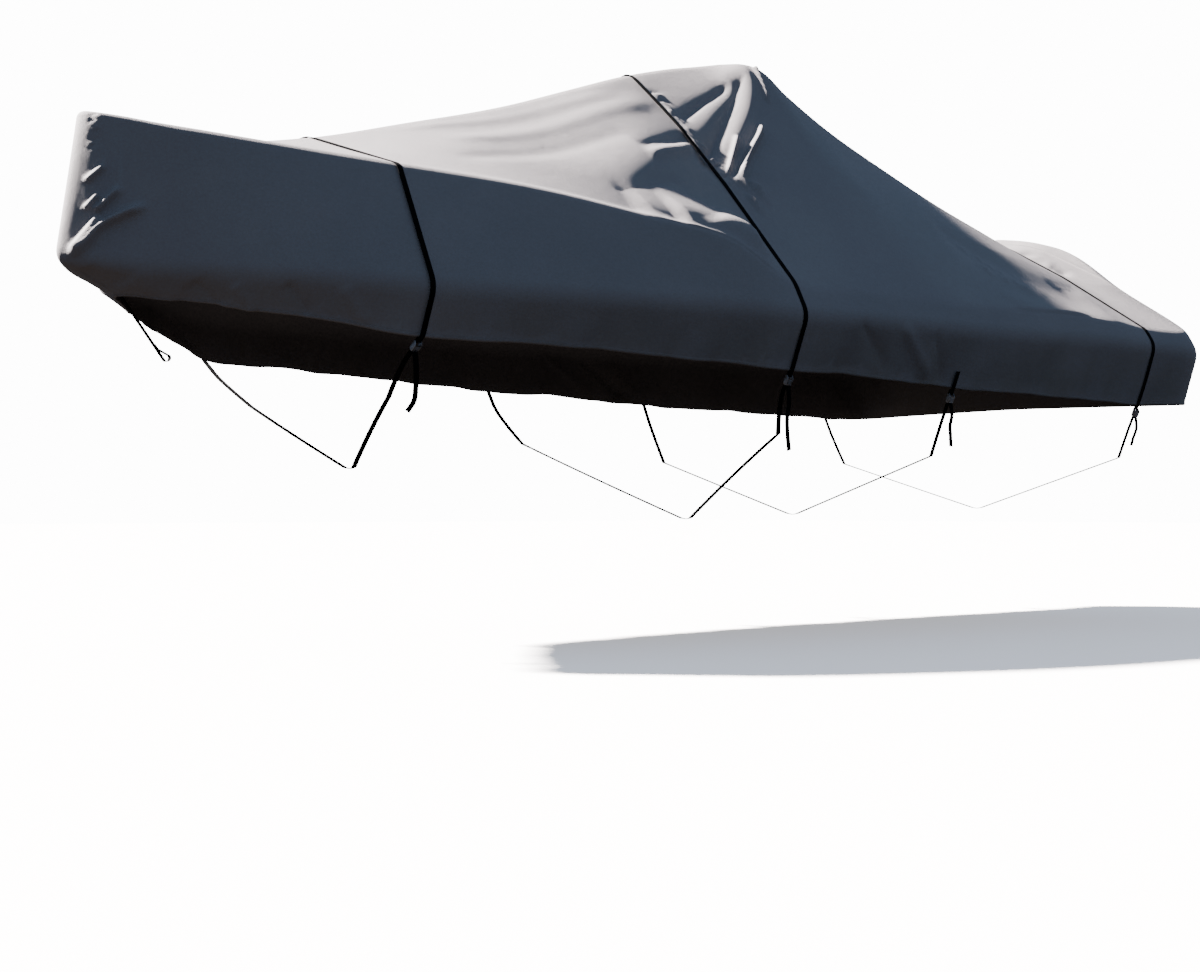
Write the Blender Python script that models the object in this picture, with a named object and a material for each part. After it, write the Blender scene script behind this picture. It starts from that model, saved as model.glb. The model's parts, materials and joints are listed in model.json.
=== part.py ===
"""A fitted cover for a 5.7 m open boat, with the belts that hold it down.

The boat itself is left out, so the cover is a hollow shell of cloth, open below.  It is described
by ribs, each a polyline from the port hem up over the ridge, which run from the middle of the
transom forward to the stem.  The starboard half mirrors the port half, a little uneven.

Sizes are metres.  In the tables x is forward of the transom, y is to port and z is above the keel.
The part's own origin lies under the top of the cover at its peak, with +X to the bow and +Z up.
"""
import math
from collections import namedtuple

import bmesh
import bpy
import numpy as np
from mathutils import Vector, geometry

# ---------------------------------------------------------------- driving dimensions
CLOTH = 0.002           # thickness of the cover cloth
GAP = 0.0004            # air left between two pieces that touch
WEB_WIDTH = 0.025       # webbing of the belts
WEB_THICKNESS = 0.002
ORIGIN = Vector((2.12, 0.0, 2.160))     # the part's origin, in the frame of the tables
ACROSS = Vector((1.0, 0.0, 0.0))        # width direction of the belts
SIDE = Vector((0.0, 1.0, 0.0))
UP = Vector((0.0, 0.0, 1.0))

STATION_PITCH = 0.032   # spacing of the ribs that carry the cloth
CLOTH_FACES = 4300      # triangles that the outer face of the cloth is thinned to

COVER_COLOUR = (0.115, 0.112, 0.118, 1.0)
WEB_COLOUR = (0.010, 0.010, 0.012, 1.0)
METAL_COLOUR = (0.30, 0.31, 0.33, 1.0)

# ---------------------------------------------------------------- the ribs of the cover
# hem, knuckle (over the rub rail), rail (upper edge of the side), shelf, knee and ridge, each x, y, z
Rib = namedtuple("Rib", "hem knuckle rail shelf knee ridge")


def side_rib(x, hem, knuckle, rail, shelf, knee, ridge):
    """A rib that lies in one plane across the boat; its points are given as y, z."""
    points = [(x, y, z) for y, z in (hem, knuckle, rail, shelf, knee)]
    return Rib(*points, (x, 0.0, ridge))


RIBS = (
    # the transom, from its middle to the corner
    Rib((0.03, 0.00, 0.600), (-0.010, 0.00, 0.920), (0.005, 0.00, 1.470),
        (0.03, 0.00, 1.510), (0.09, 0.00, 1.527), (0.17, 0.00, 1.530)),
    Rib((0.03, 0.34, 0.596), (-0.010, 0.37, 0.900), (0.010, 0.38, 1.425),
        (0.04, 0.34, 1.455), (0.11, 0.20, 1.503), (0.20, 0.00, 1.524)),
    Rib((0.03, 0.72, 0.590), (-0.010, 0.76, 0.870), (0.015, 0.74, 1.185),
        (0.07, 0.62, 1.276), (0.15, 0.25, 1.472), (0.24, 0.00, 1.508)),
    Rib((0.012, 1.075, 0.585), (-0.014, 1.14, 0.850), (0.010, 1.09, 0.965),
        (0.13, 0.67, 1.226), (0.20, 0.24, 1.456), (0.28, 0.00, 1.490)),
    Rib((0.080, 1.105, 0.582), (0.058, 1.182, 0.850), (0.078, 1.128, 0.950),
        (0.22, 0.64, 1.226), (0.27, 0.23, 1.446), (0.315, 0.00, 1.474)),
    # the sides, from the aft belt to the fore belt
    side_rib(0.35, (1.045, 0.576), (1.156, 0.862), (1.100, 0.950), (0.610, 1.242), (0.215, 1.446), 1.470),
    side_rib(0.62, (1.038, 0.580), (1.152, 0.870), (1.092, 0.975), (0.630, 1.285), (0.205, 1.535), 1.552),
    side_rib(0.97, (1.040, 0.588), (1.155, 0.868), (1.095, 0.988), (0.640, 1.335), (0.200, 1.645), 1.662),
    side_rib(1.30, (1.040, 0.594), (1.155, 0.863), (1.094, 0.984), (0.635, 1.400), (0.188, 1.766), 1.782),
    side_rib(1.77, (1.040, 0.600), (1.153, 0.858), (1.092, 0.978), (0.630, 1.480), (0.165, 1.956), 1.972),
    side_rib(2.02, (1.037, 0.611), (1.151, 0.861), (1.087, 0.981), (0.615, 1.568), (0.160, 2.078), 2.094),
    side_rib(2.17, (1.035, 0.617), (1.149, 0.862), (1.083, 0.983), (0.608, 1.592), (0.155, 2.164), 2.182),
    side_rib(2.24, (1.034, 0.620), (1.148, 0.862), (1.082, 0.984), (0.606, 1.592), (0.150, 2.168), 2.184),
    side_rib(2.50, (1.027, 0.632), (1.141, 0.864), (1.071, 0.990), (0.600, 1.568), (0.285, 1.952), 2.152),
    side_rib(2.87, (1.030, 0.634), (1.130, 0.864), (1.058, 1.000), (0.640, 1.465), (0.400, 1.717), 2.064),
    side_rib(3.22, (0.992, 0.652), (1.105, 0.870), (1.000, 1.178), (0.870, 1.208), (0.550, 1.580), 1.947),
    side_rib(3.57, (0.966, 0.664), (1.078, 0.871), (0.921, 1.235), (0.825, 1.262), (0.600, 1.458), 1.830),
    side_rib(4.07, (0.908, 0.685), (1.005, 0.873), (0.812, 1.307), (0.725, 1.335), (0.350, 1.540), 1.692),
    side_rib(4.60, (0.782, 0.696), (0.870, 0.879), (0.640, 1.363), (0.555, 1.388), (0.282, 1.468), 1.556),
    Rib((4.943, 0.532, 0.765), (4.930, 0.668, 0.900), (4.970, 0.460, 1.413),
        (4.97, 0.400, 1.428), (4.97, 0.200, 1.470), (4.97, 0.00, 1.492)),
    # the bow, round to the stem
    Rib((5.131, 0.367, 0.797), (5.208, 0.440, 0.914), (5.24, 0.307, 1.457),
        (5.19, 0.250, 1.466), (5.15, 0.120, 1.490), (5.13, 0.00, 1.500)),
    Rib((5.251, 0.237, 0.824), (5.376, 0.276, 0.925), (5.39, 0.200, 1.485),
        (5.35, 0.160, 1.490), (5.30, 0.075, 1.500), (5.28, 0.00, 1.505)),
    Rib((5.350, 0.127, 0.845), (5.538, 0.146, 0.942), (5.505, 0.112, 1.510),
        (5.46, 0.090, 1.511), (5.41, 0.040, 1.514), (5.39, 0.00, 1.515)),
    Rib((5.402, 0.062, 0.851), (5.628, 0.072, 0.958), (5.562, 0.060, 1.520),
        (5.52, 0.045, 1.522), (5.48, 0.020, 1.522), (5.46, 0.00, 1.522)),
    Rib((5.42, 0.00, 0.853), (5.676, 0.00, 0.972), (5.584, 0.00, 1.528),
        (5.54, 0.00, 1.530), (5.51, 0.00, 1.530), (5.49, 0.00, 1.530)),
)

# how far each corner of a rib is rounded, and the steps along the run that leads up to it
Corner = namedtuple("Corner", "name reach run_steps arc_steps")
CORNERS = (
    Corner("knuckle", 0.050, 7, 5),
    Corner("rail", 0.030, 9, 4),
    Corner("shelf", 0.030, 3, 3),
    Corner("knee", 0.090, 14, 5),
    Corner("ridge", 0.060, 8, 3),
)


def smooth_rows(rows, steps):
    """Catmull-Rom curve through rows of numbers, whose first and last row only set the ends."""
    rows = [np.array(row, dtype=float) for row in rows]
    curve = []
    for i in range(1, len(rows) - 2):
        p0, p1, p2, p3 = rows[i - 1:i + 3]
        before = np.linalg.norm(p1 - p0)
        span = np.linalg.norm(p2 - p1)
        after = np.linalg.norm(p3 - p2)
        slope_1 = ((p1 - p0) / before * span + (p2 - p1) / span * before) / (before + span) * span
        slope_2 = ((p2 - p1) / span * after + (p3 - p2) / after * span) / (span + after) * span
        for k in range(steps[i - 1]):
            t = k / steps[i - 1]
            curve.append(p1 * (2 * t**3 - 3 * t**2 + 1) + slope_1 * (t**3 - 2 * t**2 + t)
                         + p2 * (3 * t**2 - 2 * t**3) + slope_2 * (t**3 - t**2))
    curve.append(rows[-2])
    return curve


def station_ribs():
    """Port ribs at an even pitch from the transom to the stem, as an array of rib, corner, x y z."""
    rows = [np.array(rib) for rib in RIBS]
    mirror = np.array((1.0, -1.0, 1.0))
    rows = [rows[1] * mirror] + rows + [rows[-2] * mirror]
    steps = []
    for here, there in zip(rows[1:-2], rows[2:-1]):
        longest = max(np.linalg.norm(here - there, axis=1)[:3])
        steps.append(max(2, round(longest / STATION_PITCH)))
    curve = smooth_rows([row.ravel() for row in rows], steps)
    ribs = np.array(curve).reshape(-1, len(Rib._fields), 3)
    ribs[:, :, 1] = np.maximum(ribs[:, :, 1], 0.0)
    ribs[:, -1, 1] = 0.0
    return ribs


def corner_arc(before, corner, after, reach, steps):
    """Points round a corner, on a quadratic curve that starts and ends `reach` away from it."""
    back, ahead = before - corner, after - corner
    room = 0.45 * min(np.linalg.norm(back), np.linalg.norm(ahead))
    reach = min(reach, room)
    start = corner + back / max(np.linalg.norm(back), 1e-9) * reach
    end = corner + ahead / max(np.linalg.norm(ahead), 1e-9) * reach
    t = np.linspace(0.0, 1.0, 2 * (steps // 2) + 1)[:, None]
    return (1 - t)**2 * start + 2 * t * (1 - t) * corner + t**2 * end


def section(rib):
    """The girth of the cover at one rib: points from the port hem over the ridge to the other hem."""
    port = list(rib)
    starboard = [point * np.array((1.0, -1.0, 1.0)) for point in reversed(port[:-1])]
    line = port + starboard
    corners = list(CORNERS) + list(reversed(CORNERS[:-1]))
    runs = [corner.run_steps for corner in CORNERS]
    runs = runs + list(reversed(runs))
    girth = []
    last = line[0]
    for i, corner in enumerate(corners):
        arc = corner_arc(line[i], line[i + 1], line[i + 2], corner.reach, corner.arc_steps)
        girth.extend(last + (arc[0] - last) * k / runs[i] for k in range(runs[i]))
        girth.extend(arc[:-1])
        last = arc[-1]
    girth.extend(last + (line[-1] - last) * k / runs[-1] for k in range(runs[-1] + 1))
    return girth


def cover_grid():
    """Points of the cover's outer face, as an array of station, place round the girth, x y z."""
    return np.array([section(rib) for rib in station_ribs()])


# ---------------------------------------------------------------- folds pressed into the cloth
# A fold on the roof is placed by x, y and one on a side by x, z; a negative height is a trough.
Fold = namedtuple("Fold", "face start end width height")
FOLDS = (
    # fan from the peak down to the middle belt
    Fold("roof", (2.27, 0.190), (2.80, 0.500), 0.030, 0.024),
    Fold("roof", (2.31, 0.190), (2.80, 0.375), 0.022, 0.019),
    Fold("roof", (2.36, 0.180), (2.82, 0.290), 0.018, 0.014),
    Fold("roof", (2.42, 0.415), (2.80, 0.630), 0.016, 0.010),
    # long pulls over the forward roof
    Fold("roof", (2.82, 0.170), (4.15, 0.290), 0.050, 0.012),
    Fold("roof", (3.10, 0.375), (4.25, 0.490), 0.045, -0.010),
    Fold("roof", (3.30, 0.600), (4.45, 0.600), 0.050, 0.008),
    # pulls from the quarter, and the cloth over the gunwale there
    Fold("roof", (1.40, 0.830), (0.88, 0.990), 0.022, 0.014),
    Fold("roof", (1.36, 0.730), (1.06, 0.880), 0.018, 0.010),
    Fold("roof", (1.38, 1.020), (0.82, 1.075), 0.034, 0.012),
    # fan from the hump over the transom
    Fold("roof", (0.06, 0.380), (0.26, 0.560), 0.024, -0.016),
    Fold("roof", (0.09, 0.340), (0.32, 0.430), 0.022, 0.014),
    Fold("roof", (0.13, 0.300), (0.34, 0.290), 0.020, -0.010),
    # pulls from the stem at the rub rail
    Fold("side", (5.640, 1.000), (5.460, 1.155), 0.014, 0.015),
    Fold("side", (5.630, 1.040), (5.570, 1.130), 0.010, 0.009),
    # slack cloth under the rub rail
    Fold("side", (5.560, 0.925), (5.380, 0.850), 0.020, -0.012),
    Fold("side", (5.300, 0.890), (5.150, 0.790), 0.030, -0.014),
    Fold("side", (5.100, 0.880), (5.000, 0.740), 0.028, 0.012),
    Fold("side", (4.950, 0.870), (4.860, 0.720), 0.030, -0.012),
    Fold("side", (2.560, 0.840), (2.300, 0.630), 0.030, -0.012),
    Fold("side", (2.290, 0.850), (2.040, 0.620), 0.030, 0.012),
    Fold("side", (2.060, 0.840), (1.900, 0.610), 0.026, -0.010),
)
STARBOARD_SHIFT = 0.07      # folds of the starboard half lie this much further aft
STARBOARD_SHARE = 0.8       # and are this much as high

# slack of the band under the rub rail, as waves along the boat: wavelength, slant, height, phase
HEM_WAVES = (
    (0.61, 0.50, 0.0050, 0.4),
    (0.33, 0.35, 0.0035, 2.1),
    (0.19, 0.20, 0.0015, 4.0),
)


def smooth_step(value):
    """0 below 0, 1 above 1 and a smooth rise between."""
    value = np.clip(value, 0.0, 1.0)
    return value * value * (3.0 - 2.0 * value)


def fold_height(fold, a, b, shift, share):
    """How far a fold lifts the points whose plan coordinates are a and b."""
    start = np.array(fold.start) - (shift, 0.0)
    along = np.array(fold.end) - (shift, 0.0) - start
    length = np.hypot(*along)
    place = ((a - start[0]) * along[0] + (b - start[1]) * along[1]) / length**2
    off = ((b - start[1]) * along[0] - (a - start[0]) * along[1]) / length
    taper = smooth_step(place / 0.25) * smooth_step((1.0 - place) / 0.35)
    return fold.height * share * taper * np.exp(-(off / fold.width)**2)


def grid_normals(grid):
    """Outward normals at the points of the cover's grid."""
    along = np.gradient(grid, axis=0)
    round_girth = np.gradient(grid, axis=1)
    normals = np.cross(along, round_girth)
    return normals / np.maximum(np.linalg.norm(normals, axis=2, keepdims=True), 1e-12)


def zone_limits(count):
    """Places round the girth at which the roof starts on each side."""
    start = CORNERS[0].run_steps + 2 * (CORNERS[0].arc_steps // 2) + CORNERS[1].run_steps
    start += CORNERS[1].arc_steps // 2
    return start, count - 1 - start


def folded_grid():
    """The cover's outer face with its folds and slack."""
    grid = cover_grid()
    normals = grid_normals(grid)
    x, y, z = grid[:, :, 0], grid[:, :, 1], grid[:, :, 2]
    roof_start, roof_end = zone_limits(grid.shape[1])
    place = np.arange(grid.shape[1])[None, :]
    roof = (place > roof_start) & (place < roof_end)
    lift = np.zeros(x.shape)
    for port, shift, share in ((True, 0.0, 1.0), (False, STARBOARD_SHIFT, STARBOARD_SHARE)):
        half = (y > 0.0) == port
        for fold in FOLDS:
            on_roof = fold.face == "roof"
            height = fold_height(fold, x, np.abs(y) if on_roof else z, shift, share)
            lift += np.where(half & (roof == on_roof), height, 0.0)
    below_rail = smooth_step((0.86 - z) / 0.20) * smooth_step((5.50 - x) / 0.3) * smooth_step(x / 0.3)
    for wavelength, slant, height, phase in HEM_WAVES:
        turn = np.where(y > 0.0, phase, phase + 1.3)
        lift += below_rail * height * np.sin(2 * math.pi * (x + slant * z) / wavelength + turn)
    return grid + normals * lift[:, :, None]


# ---------------------------------------------------------------- making objects
def material(name, colour, roughness, metallic=0.0):
    """A plain Principled material."""
    made = bpy.data.materials.new(name)
    made.use_nodes = True
    shader = made.node_tree.nodes["Principled BSDF"]
    shader.inputs["Base Color"].default_value = colour
    shader.inputs["Roughness"].default_value = roughness
    shader.inputs["Metallic"].default_value = metallic
    return made


def add_object(name, vertices, faces, finish):
    """An object from points in the frame of the tables, moved so that ORIGIN is the world's origin."""
    mesh = bpy.data.meshes.new(name)
    mesh.from_pydata([Vector(vertex) - ORIGIN for vertex in vertices], [], faces)
    mesh.materials.append(finish)
    made = bpy.data.objects.new(name, mesh)
    bpy.context.scene.collection.objects.link(made)
    return made


def evaluated_mesh(source):
    """The mesh of an object with its modifiers, as new data."""
    bpy.context.view_layer.update()
    return bpy.data.meshes.new_from_object(source.evaluated_get(bpy.context.evaluated_depsgraph_get()))


def make_cover(finish):
    """The cloth: the folded outer face, thinned where it is flat, and given its thickness inward."""
    grid = folded_grid()
    stations, places = grid.shape[:2]
    number = np.arange(stations * places).reshape(stations, places)
    for end in (0, stations - 1):
        number[end, places // 2 + 1:] = number[end, :places // 2][::-1]
    used, packed = np.unique(number, return_inverse=True)
    number = packed.reshape(stations, places)
    vertices = grid.reshape(-1, 3)[used]
    faces = []
    for i in range(stations - 1):
        for j in range(places - 1):
            quad = (number[i, j], number[i, j + 1], number[i + 1, j + 1], number[i + 1, j])
            faces.append([int(corner) for corner in reversed(quad)])
    cover = add_object("cover", vertices, faces, finish)
    thin = cover.modifiers.new("thin out flat cloth", "DECIMATE")
    thin.ratio = CLOTH_FACES / (2.0 * len(faces))
    thin.use_collapse_triangulate = True
    thickness = cover.modifiers.new("cloth thickness", "SOLIDIFY")
    thickness.thickness = CLOTH
    thickness.offset = -1.0
    return cover


# ---------------------------------------------------------------- webbing
# A belt runs over the cover and under the hull; chine and keel are y, z, lean is how far aft of the
# buckle it crosses the keel, and the tail is where its free end hangs, as steps in x, y, z.
Belt = namedtuple("Belt", "name x chine keel_z lean buckle_drop tail")
BELTS = (
    Belt("fore", 4.60, (0.500, 0.487), 0.222, -0.235, 0.030,
         ((0.002, 0.012, -0.070), (0.000, 0.006, -0.140), (0.004, 0.002, -0.185), (0.026, -0.012, -0.228))),
    Belt("mid", 2.87, (0.872, 0.378), 0.010, -0.400, 0.030,
         ((0.004, 0.010, -0.070), (0.010, 0.004, -0.140), (0.006, 0.002, -0.200), (-0.016, -0.010, -0.275))),
    Belt("aft", 0.385, (0.925, 0.315), 0.060, -0.060, 0.030,
         ((0.000, 0.004, -0.060), (0.008, -0.010, -0.110), (0.010, -0.020, -0.145))),
)
HEM_STRAP = Belt("hem", 1.82, (0.900, 0.300), 0.030, -0.050, 0.036,
                 ((0.000, 0.008, -0.060), (0.006, 0.002, -0.110), (0.000, 0.000, -0.150), (0.002, 0.004, -0.200)))
TAB_RISE = 0.075        # how far the hem strap is sewn up the band on each side
BOW_EYE = (5.222, 0.632)        # x, z of the middle of the eye at the bow strap's end
BOW_EYE_RADIUS = 0.014
BOW_EYE_LENGTH = 0.050          # from the eye's middle to where its end is sewn to the strap
BOW_SEWN = 0.045                # length of the bow strap sewn to the inside of the hem

TOP_BAR = 0.0028        # radius of the bar that the sewn end of a belt holds
CAM = 0.0050            # radius of the cam that the free end turns over
BUCKLE_LENGTH = 0.030   # from the top bar to the cam
SEWN_END = 0.022        # length of the sewn end behind the belt
CHEEK = 0.0018          # plates of the buckle
SIDE_PLAY = 0.0012      # air between the web and a cheek
CLEAR_OF_BUCKLE = 0.030 # length of the belt that stays straight below its buckle


def web_offset(radius):
    """From a bar's middle to the middle of the web that bears on it."""
    return radius + GAP + WEB_THICKNESS / 2


def cloth_between(cover_mesh, *slabs):
    """Points of the cloth between pairs of planes; each slab is an axis and its low and high limit."""
    cut = bmesh.new()
    cut.from_mesh(cover_mesh)
    for axis, low, high in slabs:
        for side, limit in ((-1.0, low), (1.0, high)):
            every = cut.verts[:] + cut.edges[:] + cut.faces[:]
            plane = axis * limit - ORIGIN
            bmesh.ops.bisect_plane(cut, geom=every, plane_co=plane, plane_no=axis * side, clear_outer=True)
    points = [vert.co + ORIGIN for vert in cut.verts]
    cut.free()
    return points


def taut_line(points, clearance):
    """The closed convex line round points, standing off by a clearance, port side first and upward."""
    hull = [points[i] for i in geometry.convex_hull_2d(points)]
    kept = [hull[0]]
    for point in hull[1:]:
        if (point - kept[-1]).length > 0.004:
            kept.append(point)
    if (kept[0] - kept[-1]).length <= 0.004:
        kept.pop()
    line = []
    for i, point in enumerate(kept):
        back = (point - kept[i - 1]).normalized()
        ahead = (kept[(i + 1) % len(kept)] - point).normalized()
        normal = (back + ahead).normalized()
        normal = Vector((normal.y, -normal.x))
        line.append(point + normal * clearance / max(normal.dot(Vector((back.y, -back.x))), 0.5))
    return line


def loop_from(line, start):
    """A closed line turned so that it starts at the corner nearest to `start`."""
    first = min(range(len(line)), key=lambda i: (line[i] - start).length)
    return line[first:] + line[:first]


def first_stretch(line, length):
    """The first stretch of a line, cut off at a length."""
    made = [line[0]]
    left = length
    for here, there in zip(line, line[1:]):
        span = (there - here).length
        if span >= left:
            made.append(here.lerp(there, left / span))
            break
        made.append(there)
        left -= span
    return made


def arc_points(centre, start, turn, steps):
    """Points on a circle in the y, z plane, from `start` through the angle `turn`."""
    arm = start - centre
    made = []
    for k in range(steps + 1):
        angle = turn * k / steps
        cosine, sine = math.cos(angle), math.sin(angle)
        made.append(centre + Vector((arm.x * cosine - arm.y * sine, arm.x * sine + arm.y * cosine)))
    return made


def smooth_line(points, steps):
    """A smooth curve of 3-D points through a few."""
    rows = [2 * points[0] - points[1]] + list(points) + [2 * points[-1] - points[-2]]
    return [Vector(point) for point in smooth_rows(rows, [steps] * (len(points) - 1))]


def ribbon(name, path, finish, across=ACROSS):
    """A flat web along a path; `across` is the direction of its width."""
    vertices, faces = [], []
    last = len(path) - 1
    for i, point in enumerate(path):
        tangent = (path[min(i + 1, last)] - path[max(i - 1, 0)]).normalized()
        wide = (across - tangent * across.dot(tangent)).normalized()
        thick = tangent.cross(wide)
        stretch = 1.0
        if 0 < i < last:
            ahead = (path[i + 1] - point).normalized()
            stretch = 1.0 / max(ahead.dot(tangent), 0.75)
        for a, b in ((-1, -1), (1, -1), (1, 1), (-1, 1)):
            vertices.append(point + wide * (a * WEB_WIDTH / 2) + thick * (b * WEB_THICKNESS / 2 * stretch))
    for i in range(last):
        for k in range(4):
            a, b = 4 * i + k, 4 * i + (k + 1) % 4
            faces.append((a, b, b + 4, a + 4))
    faces.append((3, 2, 1, 0))
    faces.append(tuple(4 * last + k for k in range(4)))
    made = add_object(name, vertices, faces, finish)
    fix_normals(made.data)
    return made


def fix_normals(mesh):
    """Turn a closed mesh's faces outward."""
    made = bmesh.new()
    made.from_mesh(mesh)
    bmesh.ops.recalc_face_normals(made, faces=made.faces)
    made.to_mesh(mesh)
    made.free()


def box(low, high):
    """Vertices and faces of a box between two corners."""
    vertices = [(x, y, z) for x in (low[0], high[0]) for y in (low[1], high[1]) for z in (low[2], high[2])]
    faces = [(0, 1, 3, 2), (4, 6, 7, 5), (0, 4, 5, 1), (2, 3, 7, 6), (0, 2, 6, 4), (1, 5, 7, 3)]
    return vertices, faces


def bar(radius, half_length, up, out, sides=12):
    """Vertices and faces of a round bar that lies across the web."""
    vertices = []
    for across in (-half_length, half_length):
        for k in range(sides):
            angle = 2 * math.pi * k / sides
            vertices.append((across, up + radius * math.cos(angle), out + radius * math.sin(angle)))
    faces = [(k, k + sides, (k + 1) % sides + sides, (k + 1) % sides) for k in range(sides)]
    faces.append(tuple(range(sides)))
    faces.append(tuple(reversed(range(sides, 2 * sides))))
    return vertices, faces


def buckle_mesh(finish):
    """A cam buckle as one solid: across the web is x, up the belt is y and outward is z."""
    inner = WEB_WIDTH / 2 + SIDE_PLAY
    outer = inner + CHEEK
    low = -BUCKLE_LENGTH - CAM - 0.003
    high = TOP_BAR + 0.003
    back = -web_offset(TOP_BAR) - TOP_BAR - 0.001
    lever = 2 * web_offset(CAM) + WEB_THICKNESS / 2 + 2 * GAP
    front = lever + CHEEK
    leg_back = -WEB_THICKNESS / 2 - GAP
    bite = CHEEK / 2
    shapes = [
        box((-outer, low, back), (-inner, high, front)),
        box((inner, low, back), (outer, high, front)),
        bar(TOP_BAR, inner + bite, 0.0, -web_offset(TOP_BAR)),
        bar(CAM, inner + bite, -BUCKLE_LENGTH, web_offset(CAM)),
        box((-inner - bite, low + 0.002, leg_back - CHEEK), (inner + bite, low + 0.016, leg_back)),
        box((-inner - bite, low + 0.006, lever), (inner + bite, -0.006, front - bite / 2)),
    ]
    solids = []
    for vertices, faces in shapes:
        solid = add_object("buckle_shape", [Vector(vertex) + ORIGIN for vertex in vertices], faces, finish)
        fix_normals(solid.data)
        solids.append(solid)
    for tool in solids[1:]:
        union = solids[0].modifiers.new("joined", "BOOLEAN")
        union.operation = "UNION"
        union.solver = "EXACT"
        union.object = tool
    mesh = evaluated_mesh(solids[0])
    for solid in solids:
        bpy.data.objects.remove(solid)
    mesh.name = "cam_buckle"
    return mesh


def place_buckle(name, mesh, x, top, up, out):
    """A buckle whose top bar holds the web at `top`; up and out are its directions in y, z."""
    made = bpy.data.objects.new(name, mesh)
    bpy.context.scene.collection.objects.link(made)
    across = Vector((1.0, 0.0, 0.0))
    up = Vector((0.0, up.x, up.y))
    out = Vector((0.0, out.x, out.y))
    if across.cross(up).dot(out) < 0.0:
        across = -across
    matrix = made.matrix_world.to_3x3()
    for row in range(3):
        matrix[row] = (across[row], up[row], out[row])
    made.matrix_world = matrix.to_4x4()
    made.location = Vector((x, top.x, top.y)) - ORIGIN
    return made


def make_belt(belt, cover_mesh, web, buckle):
    """One belt: its web, its buckle and, on the hem strap, the sewn tab on the port side."""
    is_hem_strap = belt is HEM_STRAP
    half = WEB_WIDTH / 2 + 0.001
    cloth_points = [point.yz for point in cloth_between(cover_mesh, (ACROSS, belt.x - half, belt.x + half))]
    hems = [min((point for point in cloth_points if point.x * side > 0.3), key=lambda point: point.y)
            for side in (1, -1)]
    keel = [Vector((side * 0.03, belt.keel_z + 0.004)) for side in (-1, 1)] + [Vector((0.0, belt.keel_z))]
    chines = [Vector((side * belt.chine[0], belt.chine[1])) for side in (-1, 1)]
    line = taut_line(cloth_points + keel + chines, GAP + WEB_THICKNESS / 2)
    line = loop_from(line, hems[0])
    start = line[0]
    down = (line[-1] - start).normalized()
    out = Vector((-down.y, down.x))
    if out.x < 0.0:
        out = -out
    top = start + down * belt.buckle_drop
    bottom = top + down * BUCKLE_LENGTH
    bar_middle = top - out * web_offset(TOP_BAR)
    cam_middle = bottom + out * web_offset(CAM)
    turn = -math.pi if down.x * out.y - down.y * out.x < 0.0 else math.pi
    sewn = arc_points(bar_middle, bar_middle - out * web_offset(TOP_BAR), turn, 8)
    sewn = [sewn[0] - down * SEWN_END] + sewn
    over_cam = arc_points(cam_middle, bottom, -turn, 8)
    over_cam.append(over_cam[-1] + down * 0.004)

    def lies_on_hull(point):
        share = min(max((bottom.y - CLEAR_OF_BUCKLE - point.y) / (bottom.y - belt.keel_z), 0.0), 1.0)
        return Vector((belt.x + belt.lean * share**1.3, point.x, point.y))

    tail_start = Vector((belt.x, over_cam[-1].x, over_cam[-1].y))
    tail = smooth_line([tail_start] + [tail_start + Vector(step) for step in belt.tail], 4)[1:]
    if is_hem_strap:
        tab = sewn + first_stretch(line, TAB_RISE)
        ribbon("hem_strap_tab", [Vector((belt.x, point.x, point.y)) for point in tab], web)
        far_side = loop_from(line, hems[1])
        far_tab = first_stretch([far_side[0]] + far_side[:0:-1], TAB_RISE)
        under = far_tab[::-1] + far_side[1:-1 - far_side[::-1].index(start)]
    else:
        under = sewn + line
    under = finely(under + [bottom + down * CLEAR_OF_BUCKLE, bottom], 0.10)
    path = [lies_on_hull(point) for point in under]
    path += [Vector((belt.x, point.x, point.y)) for point in over_cam[1:]] + tail
    name = "hem_strap" if is_hem_strap else belt.name + "_belt"
    ribbon(name, path, web)
    place_buckle(belt.name + "_buckle", buckle, belt.x, top, -down, out)


def finely(points, longest):
    """The same line with points added where two lie further apart than `longest`."""
    made = [points[0]]
    for point in points[1:]:
        parts = max(1, math.ceil((point - made[-1]).length / longest))
        start = made[-1]
        made.extend(start.lerp(point, k / parts) for k in range(1, parts + 1))
    return made


def make_bow_strap(cover_mesh, web):
    """A web sewn inside the hem at the stem and led straight down, its lower end sewn back as an eye."""
    hem, knuckle = Vector(RIBS[-1].hem), Vector(RIBS[-1].knuckle)
    inward = (knuckle - hem).normalized()
    lift = inward.cross(SIDE)
    half = WEB_WIDTH / 2
    cloth = cloth_between(cover_mesh, (SIDE, -half, half), (UP, 0.0, knuckle.z),
                          (ACROSS, hem.x - BOW_SEWN, hem.x + BOW_SEWN))
    cloth_top = max(lift.dot(point - hem) for point in cloth)
    hem += lift * (cloth_top + GAP + WEB_THICKNESS / 2)
    edge = hem - inward * 2 * WEB_THICKNESS
    eye = Vector((BOW_EYE[0], 0.0, BOW_EYE[1]))
    fore = (eye - edge).normalized().cross(SIDE)
    down = (eye + fore * BOW_EYE_RADIUS - edge).normalized()
    path = [hem + inward * BOW_SEWN, edge]
    turns = 12
    for k in range(turns + 1):
        angle = math.pi * k / turns
        path.append(eye + (fore * math.cos(angle) + down * math.sin(angle)) * BOW_EYE_RADIUS)
    seam = path[2] - down.cross(SIDE) * (WEB_THICKNESS + GAP)
    path += [seam - down * BOW_EYE_LENGTH, seam - down * (BOW_EYE_LENGTH + SEWN_END)]
    ribbon("bow_strap", finely(path, 0.10), web, SIDE)


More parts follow.
